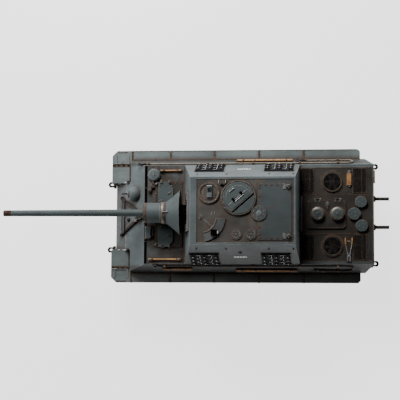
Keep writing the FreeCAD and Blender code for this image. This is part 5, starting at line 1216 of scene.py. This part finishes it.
def road_wheel(node, side, dish):
    """Hub cap, bolt rings and rib of a road wheel with its disc that deep, and its steel tyre."""
    disc, tyre = Piece(), Piece()
    frame_at = outward(middle(node, "x"), outer_face(node, side) - side * 0.6, middle(node, "z"), side)
    disc.lathe([(0, 0.4), (6.6, 0.4), (6.6, 1.6), (5.4, 2.4), (3.2, 2.6), (3.0, 3.3), (0, 3.4)], frame_at, 32)
    bolt_ring(disc, frame_at, 5.0, 6, 2.1, 0.6)
    bolt_ring(disc, frame_at, 11.5, 12, -dish, 0.85)
    disc.lathe([(14.0, -dish - 0.1), (15.4, -dish - 0.1), (15.0, 0.5 - dish), (14.3, 0.5 - dish)], frame_at)
    tyre.lathe([(21.4, -0.2), (24.9, -0.2), (24.9, 0.25), (24.2, 0.7), (22, 0.7), (21.4, 0.3)], frame_at, 64)
    disc.object(f"{node}_fittings", WHEEL_PAINT, node, bevel=0.08)
    tyre.object(f"{node}_tyre", TYRE, node, bevel=0)


def sprocket(node, side):
    """Cap, bolts, spokes and inner rim of a sprocket."""
    part, (x, _, z) = Piece(), pivot(f"{node}_spin")
    frame_at = outward(x, outer_face(node, side), z, side)
    part.lathe([(0, -0.1), (5.6, -0.1), (5.2, 1.6), (3.0, 2.4), (0, 2.6)], frame_at, 32)
    bolt_ring(part, frame_at, 3.7, 6, 1.8, 0.6)
    bolt_ring(part, frame_at, 20.3, 9, -1.3, 1.1)
    spokes(part, frame_at, 9, 20, (9.5, -1.1, -1.6), (18.6, 1.1, -0.2))
    part.lathe([(16.8, -1.4), (18.6, -1.4), (18.2, -0.6), (17.2, -0.6)], frame_at, 54)
    part.object(f"{node}_fittings", WHEEL_PAINT, node, bevel=0.08)


def idler(node, side):
    """Cap, bolts, spokes and inner rim of an idler."""
    part, frame_at = Piece(), outward(middle(node, "x"), outer_face(node, side), middle(node, "z"), side)
    part.lathe([(0, -0.1), (6.2, -0.1), (5.8, 1.2), (3.4, 2.0), (0, 2.2)], frame_at, 32)
    bolt_ring(part, frame_at, 4.2, 6, 1.2, 0.6)
    spokes(part, frame_at, 8, 0, (7.2, -0.9, -10.2), (18.6, 0.9, -8.6))
    part.lathe([(16.8, -10.2), (19.2, -10.2), (18.8, -9.2), (17.2, -9.2)], frame_at, 54)
    part.object(f"{node}_fittings", WHEEL_PAINT, node, bevel=0.08)


def islands(mesh):
    """The separate pieces of a mesh, each as a list of its points."""
    seen = set()
    for start in mesh.verts:
        if start in seen:
            continue
        seen.add(start)
        island, queue = [], [start]
        while queue:
            here = queue.pop()
            island.append(here)
            for link in here.link_edges:
                other = link.other_vert(here)
                if other not in seen:
                    seen.add(other)
                    queue.append(other)
        yield island


def centre_of(points):
    points = list(points)
    return sum((point.co for point in points), Vector()) / len(points)


def shoe_frame(shoe, chain_centre):
    """Frame of a shoe on its largest flat face, X along the chain and Z outwards, and its width's limits."""
    centre, areas = centre_of(shoe), {}
    for face in {face for point in shoe for face in point.link_faces}:
        key = tuple(round(part, 2) for part in face.normal)
        if abs(key[1]) < 0.1:
            areas[key] = areas.get(key, 0) + face.calc_area()
    normal = Vector(max(areas, key=areas.get))
    if normal.dot(centre - chain_centre) < 0:
        normal = -normal
    normal = Vector((normal.x, 0, normal.z)).normalized()
    level = centre.dot(normal)
    outer = max(point.co.dot(normal) for point in shoe if point.co.dot(normal) < level + 0.004)
    origin = centre + normal * (outer - level)
    turn = Matrix((ACROSS.cross(normal), ACROSS, normal)).transposed().to_4x4()
    reach = [point.co.y / MM for point in shoe]
    return Matrix.Translation((origin.x, 0, origin.z)) @ turn, min(reach), max(reach)


def track_details(node):
    """Grouser bars and pin heads on every shoe of a chain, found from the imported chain's separate pieces."""
    ribs, pins, chain = Piece(), Piece(), bmesh.new()
    chain.from_mesh(frame["nodes"][node].data)
    bmesh.ops.remove_doubles(chain, verts=chain.verts, dist=0.00002)
    chain.normal_update()
    chain_centre = centre_of(chain.verts)
    for shoe in islands(chain):
        frame_at, y0, y1 = shoe_frame(shoe, chain_centre)
        for x in (-2.7, 2.7):
            ribs.box((x - 0.55, y0 + 1.2, -0.1), (x + 0.55, y1 - 1.2, 0.75), frame_at, 0.15)
        if y1 - y0 < 40:
            continue
        for share in (0.14, 0.38, 0.62, 0.86):
            y = y0 + (y1 - y0) * share
            ribs.box((-4.1, y - 0.7, -0.1), (4.1, y + 0.7, 0.6), frame_at, 0.15)
        for y, out in ((y0, -1), (y1, 1)):
            for x in (-4.2, 4.2):
                pins.lathe([(0, 0), (1.0, 0), (1.0, 0.8), (0, 0.9)], frame_at @ outward(x, y, -1.8, out), 10)
    chain.free()
    ribs.object(f"{node}_grousers", TRACK, bevel=0)
    pins.object(f"{node}_pin_heads", TRACK, bevel=0)


for hand, side in HANDS:
    for number in range(1, 10):
        road_wheel(f"{hand}_road_wheel_{number}", side, 2.5 if number % 2 else 0.8)
for hand, side in HANDS:
    sprocket(f"{hand}_sprocket", side)
    idler(f"{hand}_idler", side)
for hand, _ in HANDS:
    track_details(f"{hand}_track")


# --- Floor, light and camera ---
CAMERA_TILT, CAMERA_SWING, CAMERA_ROLL = 0.1058, 0.1083, -0.004
CAMERA_PLACE = (-0.236, 0.1968, 2.2)
FLOOR_HALF, FLOOR_LEVEL = 12, -0.0005


def lamp(name, place, aim, power, width):
    data = bpy.data.lights.new(name, "AREA")
    data.energy = power
    data.size = width
    made = placed(name, data)
    made.location = place
    made.rotation_euler = (Vector(aim) - Vector(place)).to_track_quat("-Z", "Y").to_euler()


def floor():
    """White lit table: bright enough to be the light from below."""
    s = Shader("pale_floor")
    cloud = s.noise(2, 2)
    colour = s.mix(s.ramp(cloud, 0.4, 0.6), (0.3, 0.3, 0.3), (0.32, 0.32, 0.32))
    material = s.finish(colour, s.ramp(cloud, 0.3, 0.7, 0.3, 0.34), s.bump(cloud, 0.01))
    s.set(s.surface.inputs["Emission Color"], (1, 1, 1))
    s.set(s.surface.inputs["Emission Strength"], 2.0)
    data = bpy.data.meshes.new("floor")
    corners = [(-FLOOR_HALF, -FLOOR_HALF, 0), (FLOOR_HALF, -FLOOR_HALF, 0), (FLOOR_HALF, FLOOR_HALF, 0),
               (-FLOOR_HALF, FLOOR_HALF, 0)]
    data.from_pydata(corners, [], [(0, 1, 2, 3)])
    data.materials.append(material)
    ground = placed("floor", data)
    ground.location.z = FLOOR_LEVEL
    ground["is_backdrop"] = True


def camera():
    """Almost straight above, with the muzzle to the left of the picture."""
    data = bpy.data.cameras.new("camera")
    data.lens = 109.47
    data.sensor_width = 36
    made = placed("camera", data)
    base = Matrix(((-1, 0, 0), (0, 1, 0), (0, 0, -1)))
    about_right = Matrix.Rotation(-CAMERA_TILT, 3, "X")
    about_down = Matrix.Rotation(CAMERA_SWING, 3, "Y")
    about_view = Matrix.Rotation(CAMERA_ROLL, 3, "Z")
    right, down, ahead = about_view @ about_down @ about_right @ base
    turn = Matrix((right, -down, -ahead)).transposed()
    made.matrix_world = Matrix.Translation(CAMERA_PLACE) @ turn.to_4x4()
    bpy.context.scene.camera = made


floor()
camera()
world = bpy.data.worlds.new("studio")
world.use_nodes = True
world.node_tree.nodes["Background"].inputs["Color"].default_value = (1, 1, 1, 1)
world.node_tree.nodes["Background"].inputs["Strength"].default_value = 0.05
bpy.context.scene.world = world
lamp("key", (0.35, -1.35, 1.2), (0, 0, 0.08), 56, 0.7)
lamp("front", (1.9, -0.7, 1.3), (0, 0, 0.08), 42, 0.8)

boxes = [[list(corner) for corner in pair] for pair in (CAD_BOX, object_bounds())]
